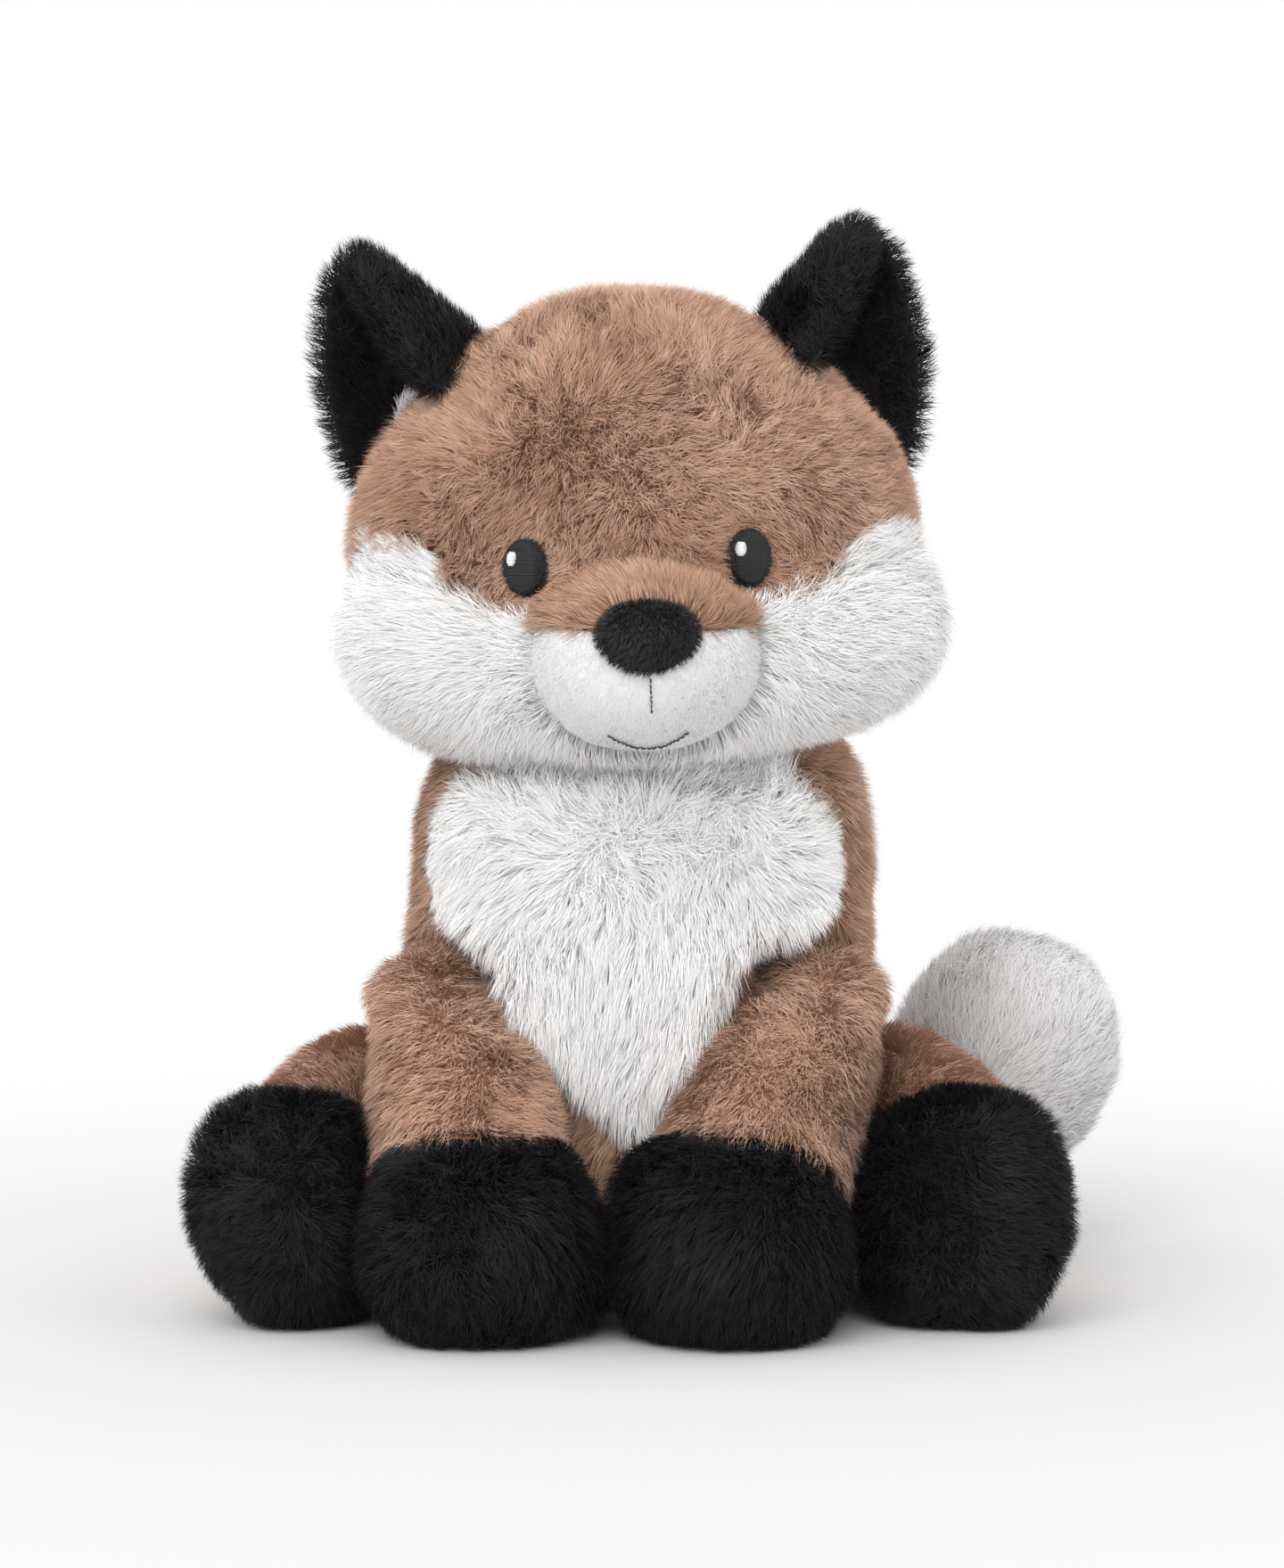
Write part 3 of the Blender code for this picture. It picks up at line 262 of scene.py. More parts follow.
# After each pile's tones comes its painted root shade: the share of the tone left at the root
MATERIALS = {
    "brown": (
        pile_material("brown_pile", BROWN_TONES, 0.74),
        skin_material("brown_backing", (0.27, 0.140, 0.088), (0.38, 0.210, 0.138), COARSE_GRAIN, COARSE_BUMP),
    ),
    # Painted light: the body's brown lightened, pile and backing, for the front and hind legs
    "brown_painted_light": (
        pile_material("brown_pile_painted_light", BROWN_PAINTED_LIGHT_TONES, 0.82),
        skin_material(
            "brown_backing_painted_light", (0.32, 0.170, 0.108), (0.44, 0.250, 0.165), COARSE_GRAIN, COARSE_BUMP),
    ),
    "white": (
        pile_material("white_pile", WHITE_TONES, 1.0, sheen=0.4),
        skin_material("white_backing", (0.90, 0.89, 0.885), (0.95, 0.945, 0.94), COARSE_GRAIN, COARSE_BUMP),
    ),
    "tail_white": (
        pile_material("tail_pile", TAIL_TONES, 0.97, sheen=0.4),
        skin_material("tail_backing", (0.82, 0.81, 0.81), (0.89, 0.88, 0.88), COARSE_GRAIN, COARSE_BUMP),
    ),
    "black": (
        pile_material("black_pile", BLACK_TONES, 0.6, roughness=0.5, sheen=0.05, specular=0.22),
        skin_material(
            "black_backing", (0.004, 0.0035, 0.004), (0.010, 0.009, 0.010), COARSE_GRAIN, COARSE_BUMP),
    ),
    "nose": (
        pile_material("nose_pile", NOSE_TONES, 0.6, roughness=0.6, sheen=0.1, specular=0.3),
        skin_material("nose_backing", (0.008, 0.007, 0.008), (0.016, 0.014, 0.016), FINE_GRAIN, NOSE_BUMP),
    ),
    "velboa": (
        pile_material("velboa_pile", VELBOA_TONES, 0.98, roughness=0.85),
        skin_material("velboa_backing", (0.86, 0.858, 0.86), (0.90, 0.898, 0.90), FINE_GRAIN, VELBOA_BUMP),
    ),
}


# Smooth random fields

LATTICE_SIDE = 32
LATTICE_SEED = 11
LATTICE = np.random.default_rng(LATTICE_SEED).uniform(-1, 1, (LATTICE_SIDE,) * 3 + (3,)).astype(np.float32)


def noise(points, wavelength, shift=0.0):
    """A smooth random vector at each point, varying over this length."""
    grid = points / wavelength + shift
    cell = np.floor(grid).astype(int)
    part = grid - cell
    part = part * part * (3 - 2 * part)
    total = np.zeros((len(points), 3))
    for x in (0, 1):
        for y in (0, 1):
            for z in (0, 1):
                weight = (
                    (part[:, 0] if x else 1 - part[:, 0])
                    * (part[:, 1] if y else 1 - part[:, 1])
                    * (part[:, 2] if z else 1 - part[:, 2])
                )
                place = (cell + np.array((x, y, z))) % LATTICE_SIDE
                total += LATTICE[place[:, 0], place[:, 1], place[:, 2]] * weight[:, None]
    return total


def unit(vectors):
    return vectors / np.maximum(np.linalg.norm(vectors, axis=1, keepdims=True), 1e-9)


# Stuffed forms under the pile

RAY_LIFT = 0.0001
SEAM_REACH = 0.0030
NEAR_FLOOR = 0.0008
SOLE_SHARE = 0.6
EASE_STEPS = 6
LUMP_HEIGHT = 0.0011
LUMP_WAVELENGTH = 0.021


def arrays_of(obj):
    """Points, triangles and point normals of a mesh object, as arrays."""
    mesh = obj.data
    mesh.calc_loop_triangles()
    points = np.empty(len(mesh.vertices) * 3, np.float32)
    mesh.vertices.foreach_get("co", points)
    corners = np.empty(len(mesh.loop_triangles) * 3, np.int32)
    mesh.loop_triangles.foreach_get("vertices", corners)
    normals = np.empty(len(mesh.vertices) * 3, np.float32)
    mesh.vertices.foreach_get("normal", normals)
    return points.reshape(-1, 3), corners.reshape(-1, 3), normals.reshape(-1, 3)


def bvh_of(objects):
    points, corners = [], []
    start = 0
    for obj in objects:
        own_points, own_corners, _ = arrays_of(obj)
        points.append(own_points)
        corners.append(own_corners + start)
        start += len(own_points)
    return BVHTree.FromPolygons(np.concatenate(points).tolist(), np.concatenate(corners).tolist())


def skin_share(obj, others):
    """1 where the skin lies open, 0 where it is sewn to or rests on another form, eased between."""
    points, corners, normals = arrays_of(obj)
    share = np.ones(len(points))
    for index in range(len(points)):
        way = Vector(normals[index])
        hit = others.ray_cast(Vector(points[index]) + way * RAY_LIFT, way, SEAM_REACH)
        if hit[0] is not None:
            share[index] = 0
        elif points[index][2] < NEAR_FLOOR:
            share[index] = SOLE_SHARE
    ends = np.concatenate([corners[:, [0, 1]], corners[:, [1, 2]], corners[:, [2, 0]]])
    count = np.bincount(ends.reshape(-1), minlength=len(points))
    for _ in range(EASE_STEPS):
        total = np.bincount(ends[:, 0], share[ends[:, 1]], len(points))
        total += np.bincount(ends[:, 1], share[ends[:, 0]], len(points))
        share = np.minimum(share, total / np.maximum(count, 1))
    return points, normals, share


def make_skin(node, voxel, ease, sink):
    """The node's solid as one smooth stuffed form, sunk below its surface by the height of the pile."""
    name = node + "_skin"
    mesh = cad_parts[node].data.copy()
    mesh.name = name
    mesh.materials.clear()
    obj = bpy.data.objects.new(name, mesh)
    bpy.context.scene.collection.objects.link(obj)
    remesh = obj.modifiers.new("weave", "REMESH")
    remesh.mode = "VOXEL"
    remesh.voxel_size = voxel
    remesh.use_smooth_shade = True
    smooth = obj.modifiers.new("ease", "SMOOTH")
    smooth.factor = 0.5
    smooth.iterations = ease
    graph = bpy.context.evaluated_depsgraph_get()
    made = bpy.data.meshes.new_from_object(obj.evaluated_get(graph))
    obj.modifiers.clear()
    obj.data = made
    made.name = name
    others = bvh_of([other for key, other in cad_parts.items() if key in FORMS and key != node])
    points, normals, share = skin_share(obj, others)
    lump = LUMP_HEIGHT * noise(points.astype(float), LUMP_WAVELENGTH, len(node))[:, 0]
    lump *= np.clip(points[:, 2] / LUMP_WAVELENGTH, 0, 1)
    sunk = points + normals * (share * (lump - sink))[:, None]
    made.vertices.foreach_set("co", sunk.reshape(-1).astype(np.float32))
    made.update()
    return obj


# Pile

MOST_STRANDS = 62000
SQUARE_MM = 1e6
COVER_LIFT = 0.0002
COVER_REACH = 0.0035
SEAT_HEIGHT = 0.003
SEAT_TILT_SHARE = 0.6
SOLED = ("front_paw", "hind_foot", "hind_leg", "tail_base")

# A strand: a four-sided ribbon at the root and a triangle at the tip
STRAND_CORNERS = (0, 1, 2, 3, 3, 2, 4)
STRAND_FACES = (0, 4)
STRAND_POINTS = 5
STRAND_TAPER_SHARE = 0.8
SKIN_NORMAL_SHARE = 0.65
TONE_HALF_SPREAD = 0.004
ROOT_V, MIDDLE_V, TIP_V = 0.02, 0.5, 0.98

# How the pile varies over the cloth, from tuft to tuft and from strand to strand
LONG_WAVE, SHORT_WAVE, SHORT_WAVE_SHARE, SHORT_WAVE_SHIFT = 0.024, 0.009, 0.6, 5
OWN_WAY_SHARE, TUFT_WAY_SHARE = 0.45, 0.55
LIFT_WAVE, LIFT_WAVE_DEGREES, LIFT_WAVE_SHIFT, LIFT_SCATTER_DEGREES = 0.014, 9, 31, 8
FLAT_LIFT_SHARE, FREE_LIFT_SHARE = 0.4, 0.6
LENGTH_WAVE, LENGTH_WAVE_SHARE, LENGTH_WAVE_SHIFT, LENGTH_SCATTER_SHARE = 0.012, 0.22, 9, 0.10
PULL_SHARES, MIDDLE_PULL_SHARE = (0.5, 1.0), 0.35
FLOOR_GAP, FLOOR_GAP_SHARES = 0.0004, (0.5, 2.5)
ROLL_SCATTER = 0.7
WIDTH_SHARES = (0.7, 1.25)
TONE_WAVE, TONE_WAVE_SHARE, TONE_WAVE_SHIFT = 0.020, 0.24, 21
TUFT_TONE_SCATTER, STRAND_TONE_SCATTER = 0.13, 0.12
LEAST_TONE, MOST_TONE = 0.02, 0.98
FEWEST_TUFTS = 4


def scatter(name, obj, per_mm2, rng, covered):
    """Root points spread evenly over the skin's open faces, with their normals."""
    points, corners, normals = arrays_of(obj)
    a, b, c = points[corners[:, 0]], points[corners[:, 1]], points[corners[:, 2]]
    cross = np.cross(b - a, c - a)
    area = np.linalg.norm(cross, axis=1) / 2
    middle = (a + b + c) / 3
    facing = unit(cross)
    open_face = np.ones(len(corners), bool)
    for index in range(len(corners)):
        start = Vector(middle[index] + facing[index] * COVER_LIFT)
        hit = covered.ray_cast(start, Vector(facing[index]), COVER_REACH)
        if hit[0] is not None:
            open_face[index] = False
    if not name.startswith(SOLED):
        open_face &= ~((middle[:, 2] < SEAT_HEIGHT) & (facing[:, 2] < -SEAT_TILT_SHARE))
    area = area * open_face
    count = int(area.sum() * SQUARE_MM * per_mm2)
    chosen = rng.choice(len(corners), count, p=area / area.sum())
    u, v = rng.random(count), rng.random(count)
    over = u + v > 1
    u[over], v[over] = 1 - u[over], 1 - v[over]
    w = 1 - u - v
    roots = a[chosen] * w[:, None] + b[chosen] * u[:, None] + c[chosen] * v[:, None]
    na, nb, nc = (normals[corners[chosen, k]] for k in range(3))
    return roots.astype(float), unit(na * w[:, None] + nb * u[:, None] + nc * v[:, None]).astype(float)


def strand_mesh(name, roots, mids, tips, across, width, tone, normals):
    """One tapered ribbon for each strand, mapped by tone across and from root to tip along."""
    count = len(roots)
    facing = unit(np.cross(across, tips - roots))
    turned = (facing * normals).sum(1) < 0
    across = np.where(turned[:, None], -across, across)
    facing = np.where(turned[:, None], -facing, facing)
    shading = unit(SKIN_NORMAL_SHARE * normals + (1 - SKIN_NORMAL_SHARE) * facing)
    half = across * (width / 2)[:, None]
    thin = half * STRAND_TAPER_SHARE
    points = np.stack([roots - half, roots + half, mids + thin, mids - thin, tips], axis=1)
    strands = np.arange(count)[:, None]
    loops = (strands * STRAND_POINTS + np.array(STRAND_CORNERS)).reshape(-1)
    starts = (strands * len(STRAND_CORNERS) + np.array(STRAND_FACES)).reshape(-1)
    u = tone[:, None] + TONE_HALF_SPREAD * np.array((-1, 1, 1, -1, -1, 1, 0))
    v = np.tile(np.array((ROOT_V, ROOT_V, MIDDLE_V, MIDDLE_V, MIDDLE_V, MIDDLE_V, TIP_V)), (count, 1))
    mesh = bpy.data.meshes.new(name)
    mesh.vertices.add(points.shape[0] * points.shape[1])
    mesh.vertices.foreach_set("co", points.reshape(-1).astype(np.float32))
    mesh.loops.add(len(loops))
    mesh.loops.foreach_set("vertex_index", loops.astype(np.int32))
    mesh.polygons.add(len(starts))
    mesh.polygons.foreach_set("loop_start", starts.astype(np.int32))
    layer = mesh.uv_layers.new(name="OFBake")
    layer.data.foreach_set("uv", np.stack([u, v], axis=2).reshape(-1).astype(np.float32))
    mesh.update(calc_edges=True)
    soft = mesh.attributes.new("custom_normal", "FLOAT_VECTOR", "POINT")
    soft.data.foreach_set("vector", np.repeat(shading, STRAND_POINTS, axis=0).reshape(-1).astype(np.float32))
    return mesh


def tufts_of(roots, size, rng):
    """The roots that lead a tuft, and for each root the place of its nearest leader among them."""
    chosen = rng.choice(len(roots), max(FEWEST_TUFTS, int(len(roots) / size)), replace=False)
    tree = KDTree(len(chosen))
    for place, index in enumerate(chosen):
        tree.insert(roots[index], place)
    tree.balance()
    return chosen, np.array([tree.find(root)[1] for root in roots])


def grow_pile(name, obj, body, material, flow, covered, style, seed, trims=()):
    """Covers a skin with strands: they follow the flow, lean, and gather in small tufts."""
    rng = np.random.default_rng(seed)
    roots, normals = scatter(name, obj, style["density"], rng, covered)
    short = np.ones(len(roots))
    for trim in trims:
        keep, share = trim(roots)
        roots, normals, short = roots[keep], normals[keep], (short * share)[keep]
    count = len(roots)
    stray = style["stray"]
    short_wave = SHORT_WAVE_SHARE * stray * noise(roots, SHORT_WAVE, seed + SHORT_WAVE_SHIFT)
    way = flow(roots) + stray * noise(roots, LONG_WAVE, seed) + short_wave
    chosen, tuft = tufts_of(roots, style["tuft_size"], rng)
    tuft_way = way[chosen] + rng.normal(0, style["tuft_stray"], (len(chosen), 3))
    way = OWN_WAY_SHARE * way + TUFT_WAY_SHARE * tuft_way[tuft] + rng.normal(0, style["fray"], (count, 3))
    along = unit(way - normals * (way * normals).sum(1)[:, None])
    lift_wave = LIFT_WAVE_DEGREES * noise(roots, LIFT_WAVE, seed + LIFT_WAVE_SHIFT)[:, 0]
    rise = style["lift"] + lift_wave + rng.normal(0, LIFT_SCATTER_DEGREES, count)
    lift = np.radians(rise * (FLAT_LIFT_SHARE + FREE_LIFT_SHARE * short))[:, None]
    bend = math.radians(style["bend"])
    length_wave = LENGTH_WAVE_SHARE * noise(roots, LENGTH_WAVE, seed + LENGTH_WAVE_SHIFT)[:, 0]
    length = style["length"] * short * (1 + length_wave + rng.normal(0, LENGTH_SCATTER_SHARE, count))
    first = along * np.cos(lift + bend) + normals * np.sin(lift + bend)
    second = along * np.cos(lift - bend) + normals * np.sin(lift - bend)
    mids = roots + first * (length / 2)[:, None]
    tips = mids + second * (length / 2)[:, None]
    pull = style["pull"] * rng.uniform(*PULL_SHARES, count)[:, None]
    tuft_mid, tuft_tip = mids[chosen][tuft], tips[chosen][tuft]
    mids = mids + MIDDLE_PULL_SHARE * pull * (tuft_mid - mids)
    tips = tips + pull * (tuft_tip - tips)
    lowest = FLOOR_GAP * rng.uniform(*FLOOR_GAP_SHARES, count)
    for points in (roots, mids, tips):
        points[:, 2] = np.maximum(points[:, 2], lowest)
    roll = rng.normal(0, ROLL_SCATTER, count)[:, None]
    direction = unit(tips - roots)
    side = unit(np.cross(direction, normals))
    across = side * np.cos(roll) + np.cross(direction, side) * np.sin(roll)
    width = style["width"] * rng.uniform(*WIDTH_SHARES, count)
    tone_wave = TONE_WAVE_SHARE * noise(roots, TONE_WAVE, seed + TONE_WAVE_SHIFT)[:, 1]
    tone = style["tone"] + tone_wave + rng.normal(0, TUFT_TONE_SCATTER, len(chosen))[tuft]
    tone = np.clip(tone + rng.normal(0, STRAND_TONE_SCATTER, count), LEAST_TONE, MOST_TONE)
    order = np.arctan2(roots[:, 1] - roots[:, 1].mean(), roots[:, 0] - roots[:, 0].mean()).argsort()
    shares = np.array_split(order, math.ceil(count / MOST_STRANDS))
    for number, kept in enumerate(shares, 1):
        label = name if len(shares) == 1 else f"{name}_{number}"
        mesh = strand_mesh(
            label, roots[kept], mids[kept], tips[kept], across[kept], width[kept], tone[kept], normals[kept]
        )
        mesh.materials.append(material)
        pile = bpy.data.objects.new(label, mesh)
        bpy.context.scene.collection.objects.link(pile)
        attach(pile, body)


def flow_from(*centre, calm=0.004, lean=(0, 0, 0)):
    """Away from a point, less and less surely near it, and leaning one way."""

    def flow(points):
        away = points - np.array(centre)
        return away / (np.linalg.norm(away, axis=1, keepdims=True) + calm) + np.array(lean)

    return flow


def flow_way(*way):
    """One way everywhere."""
    return lambda points: np.tile(np.array(way) / np.linalg.norm(way), (len(points), 1))


BIB_WHORL = np.array((0.0056, -0.050, 0.128))
BIB_WHORL_CALM = 0.022
BIB_FALL_REACH = 0.03
BIB_OUT_SHARES = np.array((0.7, 1, 1))
BIB_FALL = np.array((0, 0, -1.3))


def bib_flow(points):
    """Outward and down the chest from a whorl below the chin, and up to the chin above it."""
    away = points - BIB_WHORL
    out = away / (np.linalg.norm(away, axis=1, keepdims=True) + BIB_WHORL_CALM)
    down = np.clip((BIB_WHORL[2] - points[:, 2]) / BIB_FALL_REACH, 0, 1)[:, None]
    return out * BIB_OUT_SHARES + down * BIB_FALL


def style(
    length, density, width, lift, bend=16,
    stray=0.6, tuft_size=22, tuft_stray=0.5, fray=0.22, pull=0.45, tone=0.5,
):
    """Lengths in metres, strands for each square millimetre, angles in degrees, and how loosely they lie."""
    return {
        "length": length, "density": density, "width": width, "lift": lift, "bend": bend, "stray": stray,
        "tuft_size": tuft_size, "tuft_stray": tuft_stray, "fray": fray, "pull": pull, "tone": tone,
    }


BROWN_STYLE = style(0.0074, 4.1, 0.00022, 58, stray=0.95, tuft_size=22, tuft_stray=0.46, fray=0.32, pull=0.30)
THIGH_STYLE = style(0.0066, 3.9, 0.00022, 48, stray=1.0, tuft_size=22, tuft_stray=0.48, fray=0.30, pull=0.32)
WHITE_STYLE = style(0.0078, 4.4, 0.00023, 56, stray=0.6, tuft_size=18, tuft_stray=0.32, fray=0.32, pull=0.14)
BIB_STYLE = style(0.0102, 4.4, 0.00024, 37, stray=0.6, tuft_size=26, tuft_stray=0.38, fray=0.24, pull=0.30)
RUFF_STYLE = style(0.0105, 3.7, 0.00024, 50, stray=0.6, tuft_size=26, tuft_stray=0.4, fray=0.2, pull=0.30)
BLACK_STYLE = style(0.0084, 3.7, 0.00022, 54, stray=0.9, tuft_size=22, tuft_stray=0.45, fray=0.30, pull=0.34)
FOOT_STYLE = style(0.0072, 3.7, 0.00022, 54, stray=0.9, tuft_size=22, tuft_stray=0.45, fray=0.30, pull=0.34)
EAR_STYLE = style(0.0066, 4.0, 0.00022, 50, stray=0.7, tuft_size=18, tuft_stray=0.4, fray=0.30, pull=0.32)
NOSE_STYLE = style(0.0023, 10.0, 0.00017, 58, stray=0.9, tuft_size=12, tuft_stray=0.5, pull=0.4)
VELBOA_STYLE = style(0.0010, 11.0, 0.00016, 40, bend=10, tuft_size=6, tuft_stray=0.3, pull=0.2)
# tone 0.32 is painted shade: darker strands on the bridge, whose upward face the key light brightens
BRIDGE_STYLE = style(
    0.0070, 4.6, 0.00022, 52, stray=1.5, tuft_size=20, tuft_stray=0.6, fray=0.34, pull=0.36, tone=0.32)
LEG_STYLE = style(0.0074, 4.0, 0.00023, 48, stray=0.9, tuft_size=20, tuft_stray=0.45, fray=0.32, pull=0.24)
TAIL_STYLE = style(0.0085, 4.0, 0.00024, 34, stray=0.4, tuft_size=14, tuft_stray=0.25, fray=0.24, pull=0.14)

# Voxel, smoothing steps and depth below the solid's surface of each skin
BODY_FORM = (0.0025, 6, 0.0020)
BIB_FORM = (0.0020, 6, 0.0020)
CHEEK_FORM = (0.0020, 6, 0.0022)
BRIDGE_FORM = (0.0012, 5, 0.0015)
BOWL_FORM = (0.0012, 6, 0.0006)
NOSE_FORM = (0.0008, 4, 0.0008)
EAR_FORM = (0.0012, 4, 0.0012)
LIMB_FORM = (0.0022, 6, 0.0020)
THIGH_FORM = (0.0022, 6, 0.0034)
FOOT_FORM = (0.0022, 6, 0.0028)
TAIL_TIP_FORM = (0.0022, 6, -0.0004)

HEAD_FLOW = flow_from(0.0, -0.050, 0.226, calm=0.030, lean=(0, 0, -0.12))

# node: (body, cloth, form, style, flow)
FORMS = {
    "body_cover": ("torso", "brown", BODY_FORM, BROWN_STYLE, flow_way(0, 0.1, -1)),
    "chest_bib": ("torso", "white", BIB_FORM, BIB_STYLE, bib_flow),
    "head_cover": ("head", "brown", BODY_FORM, BROWN_STYLE, HEAD_FLOW),
    "cheek_left": ("head", "white", CHEEK_FORM, WHITE_STYLE, flow_from(0.016, -0.085, 0.196, calm=0.010)),
    "cheek_right": ("head", "white", CHEEK_FORM, WHITE_STYLE, flow_from(-0.008, -0.085, 0.194, calm=0.010)),
    "muzzle_bridge": ("head", "brown", BRIDGE_FORM, BRIDGE_STYLE, flow_from(0.005, -0.100, 0.178)),
    "muzzle_bowl": ("head", "velboa", BOWL_FORM, VELBOA_STYLE, flow_way(0, 0.3, -1)),
    "nose": ("head", "nose", NOSE_FORM, NOSE_STYLE, flow_way(0, 0.2, -1)),
    "ear_left": ("ear_left", "black", EAR_FORM, EAR_STYLE, flow_from(0.045, 0.004, 0.226)),
    "ear_right": ("ear_right", "black", EAR_FORM, EAR_STYLE, flow_from(-0.045, 0.004, 0.222)),
    "tail_base": ("tail", "brown", LIMB_FORM, BROWN_STYLE, flow_from(0.0, 0.060, 0.030)),
    "tail_tip": ("tail", "tail_white", TAIL_TIP_FORM, TAIL_STYLE, flow_from(0.092, 0.084, 0.030)),
}
for word, sign in SIDES:
    front, hind = "front_leg_" + word, "hind_leg_" + word
    leg_flow, paw_flow = flow_way(0.1 * sign, -0.35, -1), flow_from(0.034 * sign, -0.055, 0.070)
    thigh_flow, foot_flow = flow_way(0.5 * sign, -0.7, -0.5), flow_from(0.088 * sign, -0.035, 0.050)
    FORMS[front] = (front, "brown_painted_light", LIMB_FORM, LEG_STYLE, leg_flow)
    FORMS["front_paw_" + word] = (front, "black", LIMB_FORM, BLACK_STYLE, paw_flow)
    FORMS[hind] = (hind, "brown_painted_light", THIGH_FORM, THIGH_STYLE, thigh_flow)
    FORMS["hind_foot_" + word] = (hind, "black", FOOT_FORM, FOOT_STYLE, foot_flow)


EYE_SPREAD = 1.15
EYE_FRONT_DEPTH = 0.02
EYE_SHORTEST_SHARE = 0.30
EYE_SHORT_REACH = 1.2


def eye_clearance(points):
    """Keeps the pile off the eyes: which strands stay, and how long they are."""
    keep = np.ones(len(points), bool)
    short = np.ones(len(points))
    for word, _ in SIDES:
        low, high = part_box("eye_" + word)
        middle, half = (low + high) / 2, (high - low) / 2
        across = (points[:, 0] - middle.x) / (half.x * EYE_SPREAD)
        up = (points[:, 2] - middle.z) / half.z
        apart = np.hypot(across, up)
        front = points[:, 1] < middle.y + EYE_FRONT_DEPTH
        keep &= ~((apart < 1) & front)
        grown = EYE_SHORTEST_SHARE + (1 - EYE_SHORTEST_SHARE) * (apart - 1) / EYE_SHORT_REACH
        short = np.where(front, np.minimum(short, np.clip(grown, EYE_SHORTEST_SHARE, 1)), short)
    return keep, short


RAGGED_SHARE = 0.3
RAGGED_WAVE = 0.006
RAGGED_SHIFT = 3.7


def region(centre, radii, inside):
    """Keeps the pile inside, or outside, a ragged patch round a place."""

    def trim(points):
        apart = np.linalg.norm((points - np.array(centre)) / np.array(radii), axis=1)
        within = apart + RAGGED_SHARE * noise(points, RAGGED_WAVE, RAGGED_SHIFT)[:, 0] < 1
        return within == inside, np.ones(len(points))

    return trim


# name: (node, cloth, style, flow, centre, radii)
PATCHES = {
    "throat_ruff": (
        "body_cover", "white", RUFF_STYLE, flow_way(0, -0.6, 1),
        (0.002, -0.052, 0.146), (0.054, 0.034, 0.013),
    ),
    "bib_edge_left": (
        "body_cover", "white", RUFF_STYLE, flow_way(0.5, -0.7, -0.5),
        (0.0400, -0.045, 0.0900), (0.013, 0.040, 0.016),
    ),
    "bib_edge_right": (
        "body_cover", "white", RUFF_STYLE, flow_way(-0.5, -0.7, -0.5),
        (-0.0370, -0.045, 0.0900), (0.013, 0.040, 0.016),
    ),
    "cheek_top_left": (
        "head_cover", "white", WHITE_STYLE, flow_way(0.6, 0.2, 0.7),
        (0.0680, -0.034, 0.1985), (0.018, 0.025, 0.011),
    ),
    "cheek_top_right": (
        "head_cover", "white", WHITE_STYLE, flow_way(-0.6, 0.2, 0.7),
        (-0.0660, -0.034, 0.1940), (0.020, 0.025, 0.0115),
    ),
    "ear_lining_right": (
        "ear_right", "white", EAR_STYLE, flow_way(0, -0.4, 1),
        (-0.0585, -0.004, 0.2390), (0.0062, 0.020, 0.0082),
    ),
}


BIB_MIDDLE_X = 0.0015
BIB_SIDE_REACH = 0.0420
BIB_SIDE_FADE = 0.0110
BIB_SIDE_TRIM_SHARE = 0.45
EYE_NEIGHBOURS = ("head_cover", "muzzle_bridge", "cheek_left", "cheek_right")


def bib_sides(points):
    """Shorter pile towards the two sides of the bib."""
    past = np.abs(points[:, 0] - BIB_MIDDLE_X) - BIB_SIDE_REACH
    return np.ones(len(points), bool), 1 - BIB_SIDE_TRIM_SHARE * np.clip(past / BIB_SIDE_FADE, 0, 1)


def trims_of(node):
    """What shortens or removes the pile on this node's skin."""
    trims = [region(centre, radii, False) for on, _, _, _, centre, radii in PATCHES.values() if on == node]
    if node in EYE_NEIGHBOURS:
        trims.append(eye_clearance)
    if node == "chest_bib":
        trims.append(bib_sides)
    return trims


# Small shapes of single skins

NOSE_ROUND_SHARE = 0.62
NOSE_FILL_SHARE = 1.03
EAR_LEAN_POWER = 1.2
EAR_CORNER_X = 0.056
EAR_CORNER_EASE = 0.012
EAR_CORNER_DROP = 0.0065
EAR_SHIFTS = {"ear_left": (-0.0026, 0, -0.0004), "ear_right": (-0.0062, 0, -0.0034)}
BIB_SPREAD = 0.0075
BIB_SPREAD_FORWARD = 0.0050
BIB_SPREAD_FROM = 0.026
BIB_SPREAD_HEIGHT = 0.084
BIB_SPREAD_REACH = 0.026
SHOULDER_SAG_FROM = 0.080
SHOULDER_SAG_SHARE = 0.52
SHOULDER_INNER_X = 0.052
SHOULDER_INNER_SHIFT = 0.0085
SHOULDER_EASE = 0.022
SHOULDER_BACK_SHARE = 0.25
TUCK_FROM_SHARE = 0.2
# foot: plane where it meets its neighbour, reach and height of the swelling, how square, how far tucked
FOOT_SHAPES = {
    "front_paw_left": (-0.0060, 0.026, 0.0036, 2.5, 0.0010),
    "front_paw_right": (-0.0060, 0.026, 0.0036, 2.5, 0.0020),
    "hind_foot_left": (0.0600, 0.034, 0.0105, 2.3, 0.0045),
    "hind_foot_right": (-0.0660, 0.030, 0.0056, 2.2, 0.0095),
}


def moved(skin, points):
    """Puts the skin's points at new places."""
    skin.data.vertices.foreach_set("co", points.astype(np.float32).reshape(-1))
    skin.data.update()


def round_nose(skin):
    """Fills the nose out towards an egg of its own size."""
    points, _, _ = arrays_of(skin)
    low, high = points.min(0), points.max(0)
    middle, half = (low + high) / 2, (high - low) / 2
    apart = (points - middle) / half
    reach = np.maximum(np.linalg.norm(apart, axis=1, keepdims=True), 1e-6)
    rounder = apart / reach * (NOSE_ROUND_SHARE + (1 - NOSE_ROUND_SHARE) * reach)
    moved(skin, middle + rounder * half * NOSE_FILL_SHARE)


